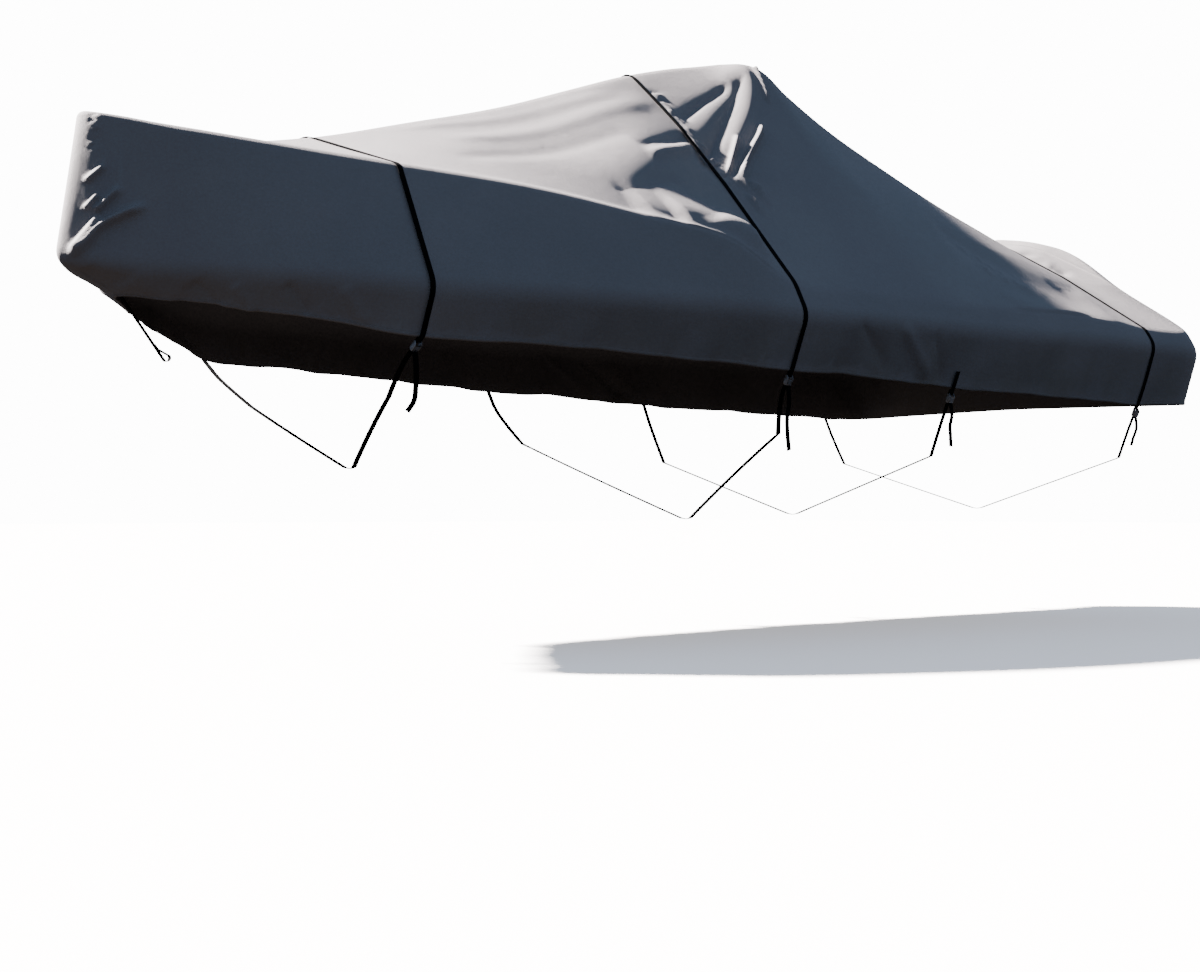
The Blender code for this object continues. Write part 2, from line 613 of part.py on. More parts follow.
def main():
    """Build the cover and what holds it down."""
    for thing in list(bpy.data.objects):
        bpy.data.objects.remove(thing)
    cloth = material("cover_cloth", COVER_COLOUR, 0.85)
    web = material("webbing", WEB_COLOUR, 0.75)
    metal = material("buckle_metal", METAL_COLOUR, 0.45, 1.0)
    cover = make_cover(cloth)
    cover_mesh = evaluated_mesh(cover)
    buckle = buckle_mesh(metal)
    for belt in BELTS + (HEM_STRAP,):
        make_belt(belt, cover_mesh, web, buckle)
    make_bow_strap(cover_mesh, web)
    bpy.data.meshes.remove(cover_mesh)


main()
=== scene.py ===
# %% [markdown]
# # A fitted cover for an open boat
# This lesson dresses a boat cover: one large sheet of woven cloth that is pulled over a boat, and the
# black web belts that hold it down.  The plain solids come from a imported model, the frame, which keeps
# the real sizes.  Every piece made here takes the place of one of those solids and stays where it is.
# Sizes are metres.  The bow points along +X, port is +Y and up is +Z.

import json
import math
import random
from collections import namedtuple

import bmesh
import bpy
import numpy as np
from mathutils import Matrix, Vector, geometry
from mathutils.bvhtree import BVHTree

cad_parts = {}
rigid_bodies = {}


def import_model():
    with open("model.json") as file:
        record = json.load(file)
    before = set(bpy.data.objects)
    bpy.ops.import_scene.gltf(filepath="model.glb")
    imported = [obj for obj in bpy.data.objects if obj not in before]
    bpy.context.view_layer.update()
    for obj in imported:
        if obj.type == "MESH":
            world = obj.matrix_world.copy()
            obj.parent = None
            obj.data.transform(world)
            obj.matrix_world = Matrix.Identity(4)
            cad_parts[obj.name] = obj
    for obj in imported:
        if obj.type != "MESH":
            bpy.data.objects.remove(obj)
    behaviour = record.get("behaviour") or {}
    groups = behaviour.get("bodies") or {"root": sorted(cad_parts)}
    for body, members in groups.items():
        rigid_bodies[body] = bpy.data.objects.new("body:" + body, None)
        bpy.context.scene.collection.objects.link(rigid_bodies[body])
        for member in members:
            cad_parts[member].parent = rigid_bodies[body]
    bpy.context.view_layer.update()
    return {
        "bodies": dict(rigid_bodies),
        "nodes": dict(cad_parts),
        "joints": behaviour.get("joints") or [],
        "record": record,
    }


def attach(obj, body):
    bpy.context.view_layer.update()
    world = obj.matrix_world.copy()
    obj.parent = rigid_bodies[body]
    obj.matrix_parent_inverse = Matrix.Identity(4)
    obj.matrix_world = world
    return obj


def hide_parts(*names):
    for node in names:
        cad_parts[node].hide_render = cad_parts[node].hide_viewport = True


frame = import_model()
print("nodes in the frame:", ", ".join(sorted(frame["nodes"])))

# %% [markdown]
# ## The camera
# The real cover was seen from near the ground, ahead of the boat and to port, with the lens level.  A
# 60 mm lens on a 36 mm wide sensor gives the same narrow view, so the far end does not shrink too much.

# %% The camera
CAMERA_PLACE = Vector((6.85, 6.83, -2.10))
CAMERA_HEADING = math.radians(41.0)     # the view turns this far aft of straight across the boat
CAMERA_RISE = math.radians(0.63)

camera = bpy.data.objects.new("camera", bpy.data.cameras.new("camera"))
bpy.context.scene.collection.objects.link(camera)
camera.data.lens = 60.0
camera.data.sensor_width = 36.0
camera.data.sensor_fit = "HORIZONTAL"
camera.data.clip_end = 200.0
view_line = Vector((-math.sin(CAMERA_HEADING) * math.cos(CAMERA_RISE),
                    -math.cos(CAMERA_HEADING) * math.cos(CAMERA_RISE), math.sin(CAMERA_RISE)))
camera.location = CAMERA_PLACE
camera.rotation_euler = view_line.to_track_quat("-Z", "Y").to_euler()
bpy.context.scene.camera = camera
print("camera looks along", [round(value, 3) for value in view_line])

# %% [markdown]
# ## Shader maths as plain expressions
# A material in Blender is a graph of nodes, and long graphs are hard to read.  A small class that wraps
# a socket and overloads + - * / lets a mask be written as an ordinary expression instead.  Colours do
# not go through these Math nodes, which would turn them grey; they are blended with a Mix node.

# %% A socket that can be calculated with
class Wire:
    """The output of a node, which ordinary operators combine through Math nodes."""

    def __init__(self, finish, socket):
        self.finish = finish
        self.socket = socket

    def maths(self, operation, first, second):
        return self.finish.node("ShaderNodeMath", {"operation": operation}, {0: first, 1: second})

    def __add__(self, other):
        return self.maths("ADD", self, other)

    def __sub__(self, other):
        return self.maths("SUBTRACT", self, other)

    def __rsub__(self, other):
        return self.maths("SUBTRACT", other, self)

    def __mul__(self, other):
        return self.maths("MULTIPLY", self, other)

    def __truediv__(self, other):
        return self.maths("DIVIDE", self, other)

    __radd__ = __add__
    __rmul__ = __mul__

    def sine(self):
        return self.maths("SINE", self, 0.0)

    def rise(self, low, high):
        """0 below `low`, 1 above `high` and a smooth rise between."""
        settings = {"interpolation_type": "SMOOTHSTEP"}
        return self.finish.node("ShaderNodeMapRange", settings, {0: self, 1: low, 2: high})


# %% A finish, built by calls
class Finish:
    """A Principled material.  Its fixed values are set on the shader; the rest comes from nodes."""

    def __init__(self, name, **constants):
        self.material = bpy.data.materials.new(name)
        self.material.use_nodes = True
        self.tree = self.material.node_tree
        self.shader = self.tree.nodes["Principled BSDF"]
        for socket, value in constants.items():
            self.shader.inputs[socket.replace("_", " ")].default_value = value

    def feed(self, socket, value):
        if isinstance(value, Wire):
            self.tree.links.new(value.socket, socket)
        else:
            socket.default_value = value

    def node(self, kind, settings=None, values=None, out=0):
        """Adds any node: its settings first, then the values or wires of its sockets."""
        made = self.tree.nodes.new(kind)
        for key, value in (settings or {}).items():
            setattr(made, key, value)
        for socket, value in (values or {}).items():
            self.feed(made.inputs[socket], value)
        return Wire(self, made.outputs[out])

    def noise(self, place, scale, detail=3.0, roughness=0.5):
        values = {"Vector": place, "Scale": scale, "Detail": detail, "Roughness": roughness}
        return self.node("ShaderNodeTexNoise", None, values)

    def blend(self, share, first, second):
        """A colour that goes from `first` to `second` as the share goes from 0 to 1."""
        values = {0: share, 6: first, 7: second}
        return self.node("ShaderNodeMix", {"data_type": "RGBA"}, values, out=2)

    def stretch(self, place, factors):
        """Coordinates multiplied by a factor on each axis."""
        return self.node("ShaderNodeVectorMath", {"operation": "MULTIPLY"}, {0: place, 1: factors})

    def bump(self, height, distance, strength=1.0, over=None):
        values = {"Height": height, "Distance": distance, "Strength": strength}
        if over:
            values["Normal"] = over
        return self.node("ShaderNodeBump", None, values)


# %% [markdown]
# ## The cloth's finish
# The cover is sewn from charcoal polyester in a plain weave with a dull coating.  From a few metres it
# is an even, slightly warm grey; nearer, the threads cross in fine checks, and the cloth is a little
# crinkled between its folds.  Sun has bleached the top.  The band below the rub rail is painted a darker,
# warmer grey as painted shade of that ground-facing band, broken up by streaks of road dust.

# %% The cloth's finish
THREAD_PITCH = 0.0014       # distance from thread to thread
CHARCOAL = (0.128, 0.120, 0.122, 1.0)
SUN_BLEACHED = (0.160, 0.150, 0.150, 1.0)
# painted warm shade of the band below the rub rail, mixed with road dust
LOW_BAND_SHADE_AND_DUST = (0.118, 0.104, 0.088, 1.0)


def weave_height(finish, across, along, pitch):
    """The height of a plain weave: smooth checks where warp and weft take turns on top."""
    turn = 2.0 * math.pi / pitch
    return ((across * turn).sine() * (along * turn).sine()) * 0.5 + 0.5


def cloth_finish():
    finish = Finish("cover_cloth_woven", Roughness=0.80, Specular_IOR_Level=0.35)
    cut = finish.node("ShaderNodeUVMap", {"uv_map": "cloth"})
    across = finish.node("ShaderNodeSeparateXYZ", None, {0: cut}, out=0)
    along = finish.node("ShaderNodeSeparateXYZ", None, {0: cut}, out=1)
    place = finish.node("ShaderNodeTexCoord", None, None, out=3)
    height_up = finish.node("ShaderNodeSeparateXYZ", None, {0: place}, out=2)
    bleach = finish.noise(place, 1.3, 4.0, 0.6).rise(0.35, 0.75)
    fleck = finish.noise(place, 90.0, 2.0).rise(0.30, 0.80)
    # darker and warmer towards the bottom: painted shade of the band below the rub rail, broken into dust
    # streaks by the noise
    low = 1.0 - height_up.rise(-1.52, -1.22)
    dust = low * finish.noise(finish.stretch(place, (1.0, 1.0, 0.4)), 5.0, 5.0, 0.65).rise(0.30, 0.75)
    colour = finish.blend(bleach * 0.7, CHARCOAL, SUN_BLEACHED)
    colour = finish.blend(dust * 0.6, colour, LOW_BAND_SHADE_AND_DUST)
    colour = finish.blend(fleck * 0.10, colour, (0.055, 0.052, 0.056, 1.0))
    finish.feed(finish.shader.inputs["Base Color"], colour)
    threads = weave_height(finish, across, along, THREAD_PITCH)
    finish.feed(finish.shader.inputs["Roughness"], 0.76 + bleach * 0.08 + dust * 0.06)
    crinkle = finish.noise(place, 18.0, 4.0, 0.55)
    relief = finish.bump(crinkle, 0.006, 0.25)
    relief = finish.bump(threads, 0.0004, 0.5, over=relief)
    finish.feed(finish.shader.inputs["Normal"], relief)
    return finish.material


cloth_look = cloth_finish()
print("cloth finish:", len(cloth_look.node_tree.nodes), "nodes")

# %% [markdown]
# ## The cover's form
# The solid in the frame was drawn from ribs: polylines from the port hem over the rub rail, the rail of
# the side and the roof to the ridge.  A fine sheet is drawn from the same ribs here, because a thin
# cloth needs many more points than its solid to hold folds.  The ribs give a form that could never be
# cut from a box, and a smooth curve through them gives any number of stations.

# %% The ribs
ORIGIN = np.array((2.12, 0.0, 2.160))   # the frame's origin, seen from the keel at the transom

# hem, knuckle (over the rub rail), rail (upper edge of the side), shelf, knee and ridge, each x, y, z
Rib = namedtuple("Rib", "hem knuckle rail shelf knee ridge")


def side_rib(x, hem, knuckle, rail, shelf, knee, ridge):
    """A rib that lies in one plane across the boat; its points are given as y, z."""
    points = [(x, y, z) for y, z in (hem, knuckle, rail, shelf, knee)]
    return Rib(*points, (x, 0.0, ridge))


RIBS = (
    # the transom, from its middle to the corner
    Rib((0.03, 0.00, 0.600), (-0.010, 0.00, 0.920), (0.005, 0.00, 1.470),
        (0.03, 0.00, 1.510), (0.09, 0.00, 1.527), (0.17, 0.00, 1.530)),
    Rib((0.03, 0.34, 0.596), (-0.010, 0.37, 0.900), (0.010, 0.38, 1.425),
        (0.04, 0.34, 1.455), (0.11, 0.20, 1.503), (0.20, 0.00, 1.524)),
    Rib((0.03, 0.72, 0.590), (-0.010, 0.76, 0.870), (0.015, 0.74, 1.185),
        (0.07, 0.62, 1.276), (0.15, 0.25, 1.472), (0.24, 0.00, 1.508)),
    Rib((0.012, 1.075, 0.585), (-0.014, 1.14, 0.850), (0.010, 1.09, 0.965),
        (0.13, 0.67, 1.226), (0.20, 0.24, 1.456), (0.28, 0.00, 1.490)),
    Rib((0.080, 1.105, 0.582), (0.058, 1.182, 0.850), (0.078, 1.128, 0.950),
        (0.22, 0.64, 1.226), (0.27, 0.23, 1.446), (0.315, 0.00, 1.474)),
    # the sides, from the aft belt to the fore belt
    side_rib(0.35, (1.045, 0.576), (1.156, 0.862), (1.100, 0.950), (0.610, 1.242), (0.215, 1.446), 1.470),
    side_rib(0.62, (1.038, 0.580), (1.152, 0.870), (1.092, 0.975), (0.630, 1.285), (0.205, 1.535), 1.552),
    side_rib(0.97, (1.040, 0.588), (1.155, 0.868), (1.095, 0.988), (0.640, 1.335), (0.200, 1.645), 1.662),
    side_rib(1.30, (1.040, 0.594), (1.155, 0.863), (1.094, 0.984), (0.635, 1.400), (0.188, 1.766), 1.782),
    side_rib(1.77, (1.040, 0.600), (1.153, 0.858), (1.092, 0.978), (0.630, 1.480), (0.165, 1.956), 1.972),
    side_rib(2.02, (1.037, 0.611), (1.151, 0.861), (1.087, 0.981), (0.615, 1.568), (0.160, 2.078), 2.094),
    side_rib(2.17, (1.035, 0.617), (1.149, 0.862), (1.083, 0.983), (0.608, 1.592), (0.155, 2.164), 2.182),
    side_rib(2.24, (1.034, 0.620), (1.148, 0.862), (1.082, 0.984), (0.606, 1.592), (0.150, 2.168), 2.184),
    side_rib(2.50, (1.027, 0.632), (1.141, 0.864), (1.071, 0.990), (0.600, 1.568), (0.285, 1.952), 2.152),
    side_rib(2.87, (1.030, 0.634), (1.130, 0.864), (1.058, 1.000), (0.640, 1.465), (0.400, 1.717), 2.064),
    side_rib(3.22, (0.992, 0.652), (1.105, 0.870), (1.000, 1.178), (0.870, 1.208), (0.550, 1.580), 1.947),
    side_rib(3.57, (0.966, 0.664), (1.078, 0.871), (0.921, 1.235), (0.825, 1.262), (0.600, 1.458), 1.830),
    side_rib(4.07, (0.908, 0.685), (1.005, 0.873), (0.812, 1.307), (0.725, 1.335), (0.350, 1.540), 1.692),
    side_rib(4.60, (0.782, 0.696), (0.870, 0.879), (0.640, 1.363), (0.555, 1.388), (0.282, 1.468), 1.556),
    Rib((4.943, 0.532, 0.765), (4.930, 0.668, 0.900), (4.970, 0.460, 1.413),
        (4.97, 0.400, 1.428), (4.97, 0.200, 1.470), (4.97, 0.00, 1.492)),
    # the bow, round to the stem
    Rib((5.131, 0.367, 0.797), (5.208, 0.440, 0.914), (5.24, 0.307, 1.457),
        (5.19, 0.250, 1.466), (5.15, 0.120, 1.490), (5.13, 0.00, 1.500)),
    Rib((5.251, 0.237, 0.824), (5.376, 0.276, 0.925), (5.39, 0.200, 1.485),
        (5.35, 0.160, 1.490), (5.30, 0.075, 1.500), (5.28, 0.00, 1.505)),
    Rib((5.350, 0.127, 0.845), (5.538, 0.146, 0.942), (5.505, 0.112, 1.510),
        (5.46, 0.090, 1.511), (5.41, 0.040, 1.514), (5.39, 0.00, 1.515)),
    Rib((5.402, 0.062, 0.851), (5.628, 0.072, 0.958), (5.562, 0.060, 1.520),
        (5.52, 0.045, 1.522), (5.48, 0.020, 1.522), (5.46, 0.00, 1.522)),
    Rib((5.42, 0.00, 0.853), (5.676, 0.00, 0.972), (5.584, 0.00, 1.528),
        (5.54, 0.00, 1.530), (5.51, 0.00, 1.530), (5.49, 0.00, 1.530)),
)
print(len(RIBS), "ribs from the transom to the stem")

# %% Stations between the ribs
STATION_PITCH = 0.011
MIRROR = np.array((1.0, -1.0, 1.0))


def smooth_rows(rows, steps):
    """Catmull-Rom curve through rows of numbers, whose first and last row only set the ends."""
    rows = [np.array(row, dtype=float) for row in rows]
    curve = []
    for i in range(1, len(rows) - 2):
        p0, p1, p2, p3 = rows[i - 1:i + 3]
        before = np.linalg.norm(p1 - p0)
        span = np.linalg.norm(p2 - p1)
        after = np.linalg.norm(p3 - p2)
        slope_1 = ((p1 - p0) / before * span + (p2 - p1) / span * before) / (before + span) * span
        slope_2 = ((p2 - p1) / span * after + (p3 - p2) / after * span) / (span + after) * span
        for k in range(steps[i - 1]):
            t = k / steps[i - 1]
            curve.append(p1 * (2 * t**3 - 3 * t**2 + 1) + slope_1 * (t**3 - 2 * t**2 + t)
                         + p2 * (3 * t**2 - 2 * t**3) + slope_2 * (t**3 - t**2))
    curve.append(rows[-2])
    return np.array(curve)


def station_ribs():
    """Port ribs at an even pitch from the transom to the stem, as an array of rib, corner, x y z."""
    rows = [np.array(rib) for rib in RIBS]
    rows = [rows[1] * MIRROR] + rows + [rows[-2] * MIRROR]
    steps = []
    for here, there in zip(rows[1:-2], rows[2:-1]):
        longest = max(np.linalg.norm(here - there, axis=1)[:3])
        steps.append(max(3, round(longest / STATION_PITCH)))
    ribs = smooth_rows([row.ravel() for row in rows], steps).reshape(-1, len(Rib._fields), 3)
    ribs[:, :, 1] = np.maximum(ribs[:, :, 1], 0.0)
    ribs[:, -1, 1] = 0.0
    return ribs


stations = station_ribs()
print(len(stations), "stations")

# %% [markdown]
# Each station is a chain of straight runs, and cloth never turns a sharp corner, so every corner gets a
# short curve.  The corner's reach says how far before and after it the cloth starts to turn.  The first
# run is divided unevenly, closely at the hem, because the hem's own roll is only a finger wide.

# %% The girth at each station
Corner = namedtuple("Corner", "name reach run_steps arc_steps")
CORNERS = (
    Corner("knuckle", 0.050, 14, 6),
    Corner("rail", 0.030, 48, 6),
    Corner("shelf", 0.030, 10, 4),
    Corner("knee", 0.090, 66, 10),
    Corner("ridge", 0.060, 26, 4),
)
HEM_SHARES = (0.0, 0.018, 0.036, 0.056, 0.080, 0.11)     # places near the hem, as shares of its run


def corner_arc(before, corner, after, reach, steps):
    """Points round the corners of all stations, on curves that start and end `reach` away."""
    back, ahead = before - corner, after - corner
    back_length = np.linalg.norm(back, axis=1, keepdims=True)
    ahead_length = np.linalg.norm(ahead, axis=1, keepdims=True)
    reach = np.minimum(reach, 0.45 * np.minimum(back_length, ahead_length))
    start = corner + back / np.maximum(back_length, 1e-9) * reach
    end = corner + ahead / np.maximum(ahead_length, 1e-9) * reach
    t = np.linspace(0.0, 1.0, steps + 1)[None, :, None]
    return (1 - t)**2 * start[:, None] + 2 * t * (1 - t) * corner[:, None] + t**2 * end[:, None]


def run_shares(steps, at_hem):
    """Where the points of a straight run lie, as shares of its length, without the last one."""
    if not at_hem:
        return np.arange(steps) / steps
    rest = np.linspace(HEM_SHARES[-1], 1.0, steps - len(HEM_SHARES) + 2)[1:-1]
    return np.concatenate([HEM_SHARES, rest])


def girths(ribs):
    """All stations as chains of points, from the port hem over the ridge to the other hem."""
    line = np.concatenate([ribs, ribs[:, -2::-1] * MIRROR], axis=1)
    corners = list(CORNERS) + list(reversed(CORNERS[:-1]))
    runs = [corner.run_steps for corner in CORNERS]
    runs = runs + list(reversed(runs))
    chain, last = [], line[:, 0]
    for i, corner in enumerate(corners):
        arc = corner_arc(line[:, i], line[:, i + 1], line[:, i + 2], corner.reach, corner.arc_steps)
        shares = run_shares(runs[i], i == 0)[None, :, None]
        chain.append(last[:, None] + (arc[:, :1] - last[:, None]) * shares)
        chain.append(arc[:, :-1])
        last = arc[:, -1]
    shares = 1.0 - np.append(run_shares(runs[-1], True), 1.0)[::-1][None, :, None]
    chain.append(last[:, None] + (line[:, -1:] - last[:, None]) * shares)
    return np.concatenate(chain, axis=1)


plain_grid = girths(stations)
print("grid of", plain_grid.shape[0], "stations by", plain_grid.shape[1], "places")

# %% [markdown]
# ## Folds
# Stretched cloth pulls into ridges that start at a high or tight point and fade out where the pull
# spreads.  Each one is a line of a few points with a width and a height; a negative height is a trough.
# A round one swells softly, and a sharp one comes to a crease, as cloth does at the foot of a ridge.
# `lean` makes one flank steeper than the other.  The starboard half gets the same folds a little further
# aft and lower, so that the two halves do not match like a print.

# %% The folds
# A fold on the roof is placed by x and the distance from the middle, one on a side by x and z.
Fold = namedtuple("Fold", "face points width height lean edge")
FOLDS = (
    # fan from the peak down to the middle belt: the valleys are sharp, the cloth between them round
    Fold("roof", ((2.270, 0.180), (2.351, 0.221), (2.466, 0.300), (2.582, 0.364),
                  (2.705, 0.434), (2.960, 0.575)), 0.046, -0.030, 0.7, "sharp"),
    Fold("roof", ((2.390, 0.192), (2.516, 0.236), (2.635, 0.262),
                  (2.776, 0.298), (2.870, 0.318)), 0.036, -0.024, 0.7, "sharp"),
    Fold("roof", ((2.230, 0.170), (2.409, 0.327), (2.575, 0.425), (2.784, 0.509)),
         0.045, 0.012, 1.0, "round"),
    Fold("roof", ((2.400, 0.400), (2.439, 0.431), (2.615, 0.528), (2.820, 0.645)),
         0.012, 0.032, 1.0, "round"),
    Fold("roof", ((2.700, 0.575), (2.790, 0.665)), 0.009, 0.028, 1.0, "round"),
    Fold("roof", ((2.600, 0.440), (2.676, 0.495), (2.820, 0.598)), 0.010, 0.022, 1.0, "round"),
    Fold("roof", ((2.650, 0.638), (2.800, 0.730)), 0.011, 0.030, 1.0, "round"),
    Fold("roof", ((2.198, 0.150), (2.210, 0.180), (2.280, 0.330)), 0.013, 0.022, 1.0, "round"),
    # the pull that crosses under the middle belt, with a dip above it, and the hollow below
    Fold("roof", ((3.250, 0.560), (3.022, 0.492), (2.860, 0.439)), 0.028, 0.018, 0.8, "round"),
    Fold("roof", ((3.250, 0.490), (2.982, 0.430), (2.840, 0.400)), 0.035, -0.014, 0.8, "sharp"),
    # long pulls over the forward roof
    Fold("roof", ((2.823, 0.173), (3.482, 0.256), (4.180, 0.290)), 0.055, 0.010, 0.8, "round"),
    Fold("roof", ((3.128, 0.375), (3.619, 0.419), (4.260, 0.488)), 0.045, -0.008, 1.0, "round"),
    Fold("roof", ((3.000, 0.110), (3.700, 0.120), (4.300, 0.100)), 0.040, 0.006, 0.8, "round"),
    # the shelf beside the rail, and the fork at its aft end
    Fold("roof", ((3.580, 0.800), (3.350, 0.850), (3.220, 0.870), (3.050, 0.905), (2.880, 0.940)),
         0.075, 0.028, 1.4, "round"),
    Fold("roof", ((3.400, 0.845), (3.220, 0.870), (3.050, 0.900), (2.900, 0.925)),
         0.075, 0.032, 1.4, "round"),
    Fold("roof", ((3.580, 0.715), (3.450, 0.705), (3.280, 0.680), (3.120, 0.660)),
         0.055, -0.009, 0.8, "sharp"),
    # pulls from the quarter, and the cloth over the gunwale there
    Fold("roof", ((1.420, 0.720), (1.336, 0.751), (1.178, 0.915), (0.980, 0.965)),
         0.014, 0.012, 0.8, "sharp"),
    Fold("roof", ((1.400, 0.840), (1.180, 0.939), (1.000, 0.990)), 0.014, 0.014, 0.7, "sharp"),
    Fold("roof", ((1.100, 0.820), (0.880, 0.965)), 0.012, 0.010, 0.8, "sharp"),
    Fold("roof", ((1.440, 1.035), (1.382, 1.046), (1.126, 1.067), (0.800, 1.086)),
         0.045, 0.008, 1.0, "round"),
    Fold("roof", ((1.500, 0.640), (1.150, 0.780), (0.850, 0.900), (0.560, 0.960)),
         0.120, -0.020, 1.0, "round"),
    # fan from the hump over the transom
    Fold("roof", ((0.050, 0.375), (0.139, 0.471), (0.300, 0.530)), 0.036, -0.012, 0.8, "round"),
    Fold("roof", ((0.080, 0.345), (0.320, 0.450)), 0.030, 0.005, 0.7, "round"),
    Fold("roof", ((0.060, 0.300), (0.330, 0.290)), 0.034, -0.008, 0.8, "round"),
    Fold("roof", ((0.480, 0.760), (0.700, 0.837), (0.800, 0.825)), 0.022, -0.008, 0.8, "sharp"),
    # pulls from the stem at the rub rail
    Fold("side", ((5.650, 0.975), (5.600, 1.030), (5.558, 1.089), (5.499, 1.129), (5.410, 1.175)),
         0.014, 0.034, 1.0, "round"),
    Fold("side", ((5.640, 1.000), (5.600, 1.065), (5.555, 1.140)), 0.009, 0.020, 1.0, "round"),
    Fold("side", ((5.575, 1.140), (5.555, 1.163), (5.490, 1.240)), 0.011, 0.024, 1.0, "round"),
    Fold("side", ((5.600, 1.150), (5.555, 1.215)), 0.008, 0.015, 1.0, "round"),
    Fold("side", ((5.592, 1.255), (5.535, 1.320)), 0.009, 0.018, 1.0, "round"),
    # slack cloth under the rub rail
    Fold("side", ((5.595, 0.940), (5.448, 0.877)), 0.016, -0.010, 1.0, "sharp"),
    Fold("side", ((5.470, 0.902), (5.273, 0.822)), 0.024, 0.010, 0.8, "round"),
    Fold("side", ((5.293, 0.893), (5.163, 0.800)), 0.022, -0.012, 1.0, "sharp"),
    Fold("side", ((5.186, 0.883), (5.077, 0.780)), 0.018, 0.010, 0.8, "round"),
    Fold("side", ((5.042, 0.886), (4.926, 0.770)), 0.020, -0.011, 1.0, "sharp"),
    Fold("side", ((4.883, 0.876), (4.763, 0.730)), 0.022, 0.009, 0.8, "round"),
    Fold("side", ((2.544, 0.862), (2.254, 0.640)), 0.030, -0.012, 1.0, "sharp"),
    Fold("side", ((2.280, 0.857), (1.987, 0.630)), 0.030, 0.011, 0.8, "round"),
    Fold("side", ((2.060, 0.845), (1.890, 0.610)), 0.026, -0.009, 1.0, "sharp"),
)
STARBOARD_SHIFT = 0.07      # how far aft the starboard half's folds lie, and their share of the height
STARBOARD_SHARE = 0.8

# rows of small puckers where the cloth is gathered: face, first and last place, how many, their length
# and height, and the direction in which they run off
Puckers = namedtuple("Puckers", "face first last count length height run_off")
PUCKER_ROWS = (
    Puckers("roof", (2.852, 0.130), (2.852, 0.640), 26, 0.050, 0.0075, (-1.0, 0.35)),
    Puckers("side", (5.572, 1.500), (5.580, 1.380), 8, 0.035, 0.0045, (-1.0, 0.55)),
)


def pucker_folds(row, chance):
    """The short sharp folds of a row, unevenly long, high and slanted."""
    made = []
    for i in range(row.count):
        share = (i + chance.uniform(-0.3, 0.3)) / (row.count - 1)
        start = np.array(row.first) + (np.array(row.last) - row.first) * share
        run_off = np.array(row.run_off) + (0.0, chance.uniform(-0.6, 0.6))
        end = start + run_off * row.length * chance.uniform(0.5, 1.3)
        height = row.height * chance.uniform(0.5, 1.3) * chance.choice((1, 1, -1))
        width = chance.uniform(0.006, 0.011)
        made.append(Fold(row.face, (tuple(start), tuple(end)), width, height, 0.8, "sharp"))
    return made


chance = random.Random(11)
all_folds = list(FOLDS)
for row in PUCKER_ROWS:
    all_folds += pucker_folds(row, chance)
print(len(all_folds), "folds and puckers")

# slack of the band under the rub rail, as waves along the boat: wavelength, slant, height, phase
HEM_WAVES = (
    (0.61, 0.50, 0.0050, 0.4),
    (0.33, 0.35, 0.0035, 2.1),
    (0.19, 0.20, 0.0015, 4.0),
)


def smooth_step(value):
    """0 below 0, 1 above 1 and a smooth rise between."""
    value = np.clip(value, 0.0, 1.0)
    return value * value * (3.0 - 2.0 * value)


FOLD_START = 0.15       # shares of a fold's length over which it rises and fades out
FOLD_END = 0.20


def fold_height(fold, a, b, shift, share):
    """How far a fold lifts the points whose plan coordinates are a and b."""
    points = np.array(fold.points) - (shift, 0.0)
    if len(points) > 2:
        ends = [2 * points[0] - points[1], *points, 2 * points[-1] - points[-2]]
        points = smooth_rows(ends, [5] * (len(points) - 1))
    spans = np.diff(points, axis=0)
    lengths = np.hypot(*spans.T)
    nearest = np.full(a.shape, 1e9)
    place, side = np.zeros(a.shape), np.zeros(a.shape)
    done = 0.0
    for start, span, length in zip(points, spans, lengths):
        share_along = ((a - start[0]) * span[0] + (b - start[1]) * span[1]) / length**2
        share_along = np.clip(share_along, 0.0, 1.0)
        da, db = a - start[0] - share_along * span[0], b - start[1] - share_along * span[1]
        gap = np.hypot(da, db)
        closer = gap < nearest
        nearest = np.where(closer, gap, nearest)
        place = np.where(closer, (done + share_along * length) / lengths.sum(), place)
        side = np.where(closer, db * span[0] - da * span[1], side)
        done += length
    width = np.where(side > 0.0, fold.width * fold.lean, fold.width)
    taper = smooth_step(place / FOLD_START) * smooth_step((1.0 - place) / FOLD_END)
    power = 2 if fold.edge == "round" else 1
    return fold.height * share * taper * np.exp(-(nearest / width)**power)


# %% [markdown]
# ## The sheet
# The grid of the girths is lifted by the folds, the slack of the band, the small puckers beside the
# middle belt and the roll of the hem.  Under each belt the cloth is pressed in.  On the sides a lift goes
# along the cloth's normal.  On the roof it goes up and a little outward, so that few lifts cross.

# %% Make the sheet
PRESSED = ((4.60, 0.002), (2.87, 0.002), (0.385, 0.002))       # x of a belt and how deep it presses
PRESS_REACH = 0.022     # how far fore and aft of a belt the pressed cloth spreads
SLACK_TOP = 0.86        # the slack of the band starts below this height and fades towards both ends
SLACK_ENDS = (0.0, 5.50)
SLACK_FADE_DOWN = 0.20
SLACK_FADE_ALONG = 0.3
HEM_ROLL = 0.016        # how far up from its edge the hem is turned round a cord
HEM_BULGE = 0.0035      # how far that roll stands out
QUIET_TRANSOM = 0.16    # the roof's folds end this far from the transom, where the sheet turns down
QUIET_FADE = 0.12
ROOF_TILT = 0.75        # radians that the roof's lifts lean outward, all of it from this far out
ROOF_TILT_REACH = 0.35


def grid_normals(grid):
    """Outward normals at the points of a grid."""
    along = np.gradient(grid, axis=0)
    round_girth = np.gradient(grid, axis=1)
    normals = np.cross(round_girth, along)
    return normals / np.maximum(np.linalg.norm(normals, axis=2, keepdims=True), 1e-12)


def first_roof_place():
    """The place round the girth at which the roof starts on the port side."""
    start = CORNERS[0].run_steps + 2 * (CORNERS[0].arc_steps // 2) + CORNERS[1].run_steps
    return start + CORNERS[1].arc_steps // 2


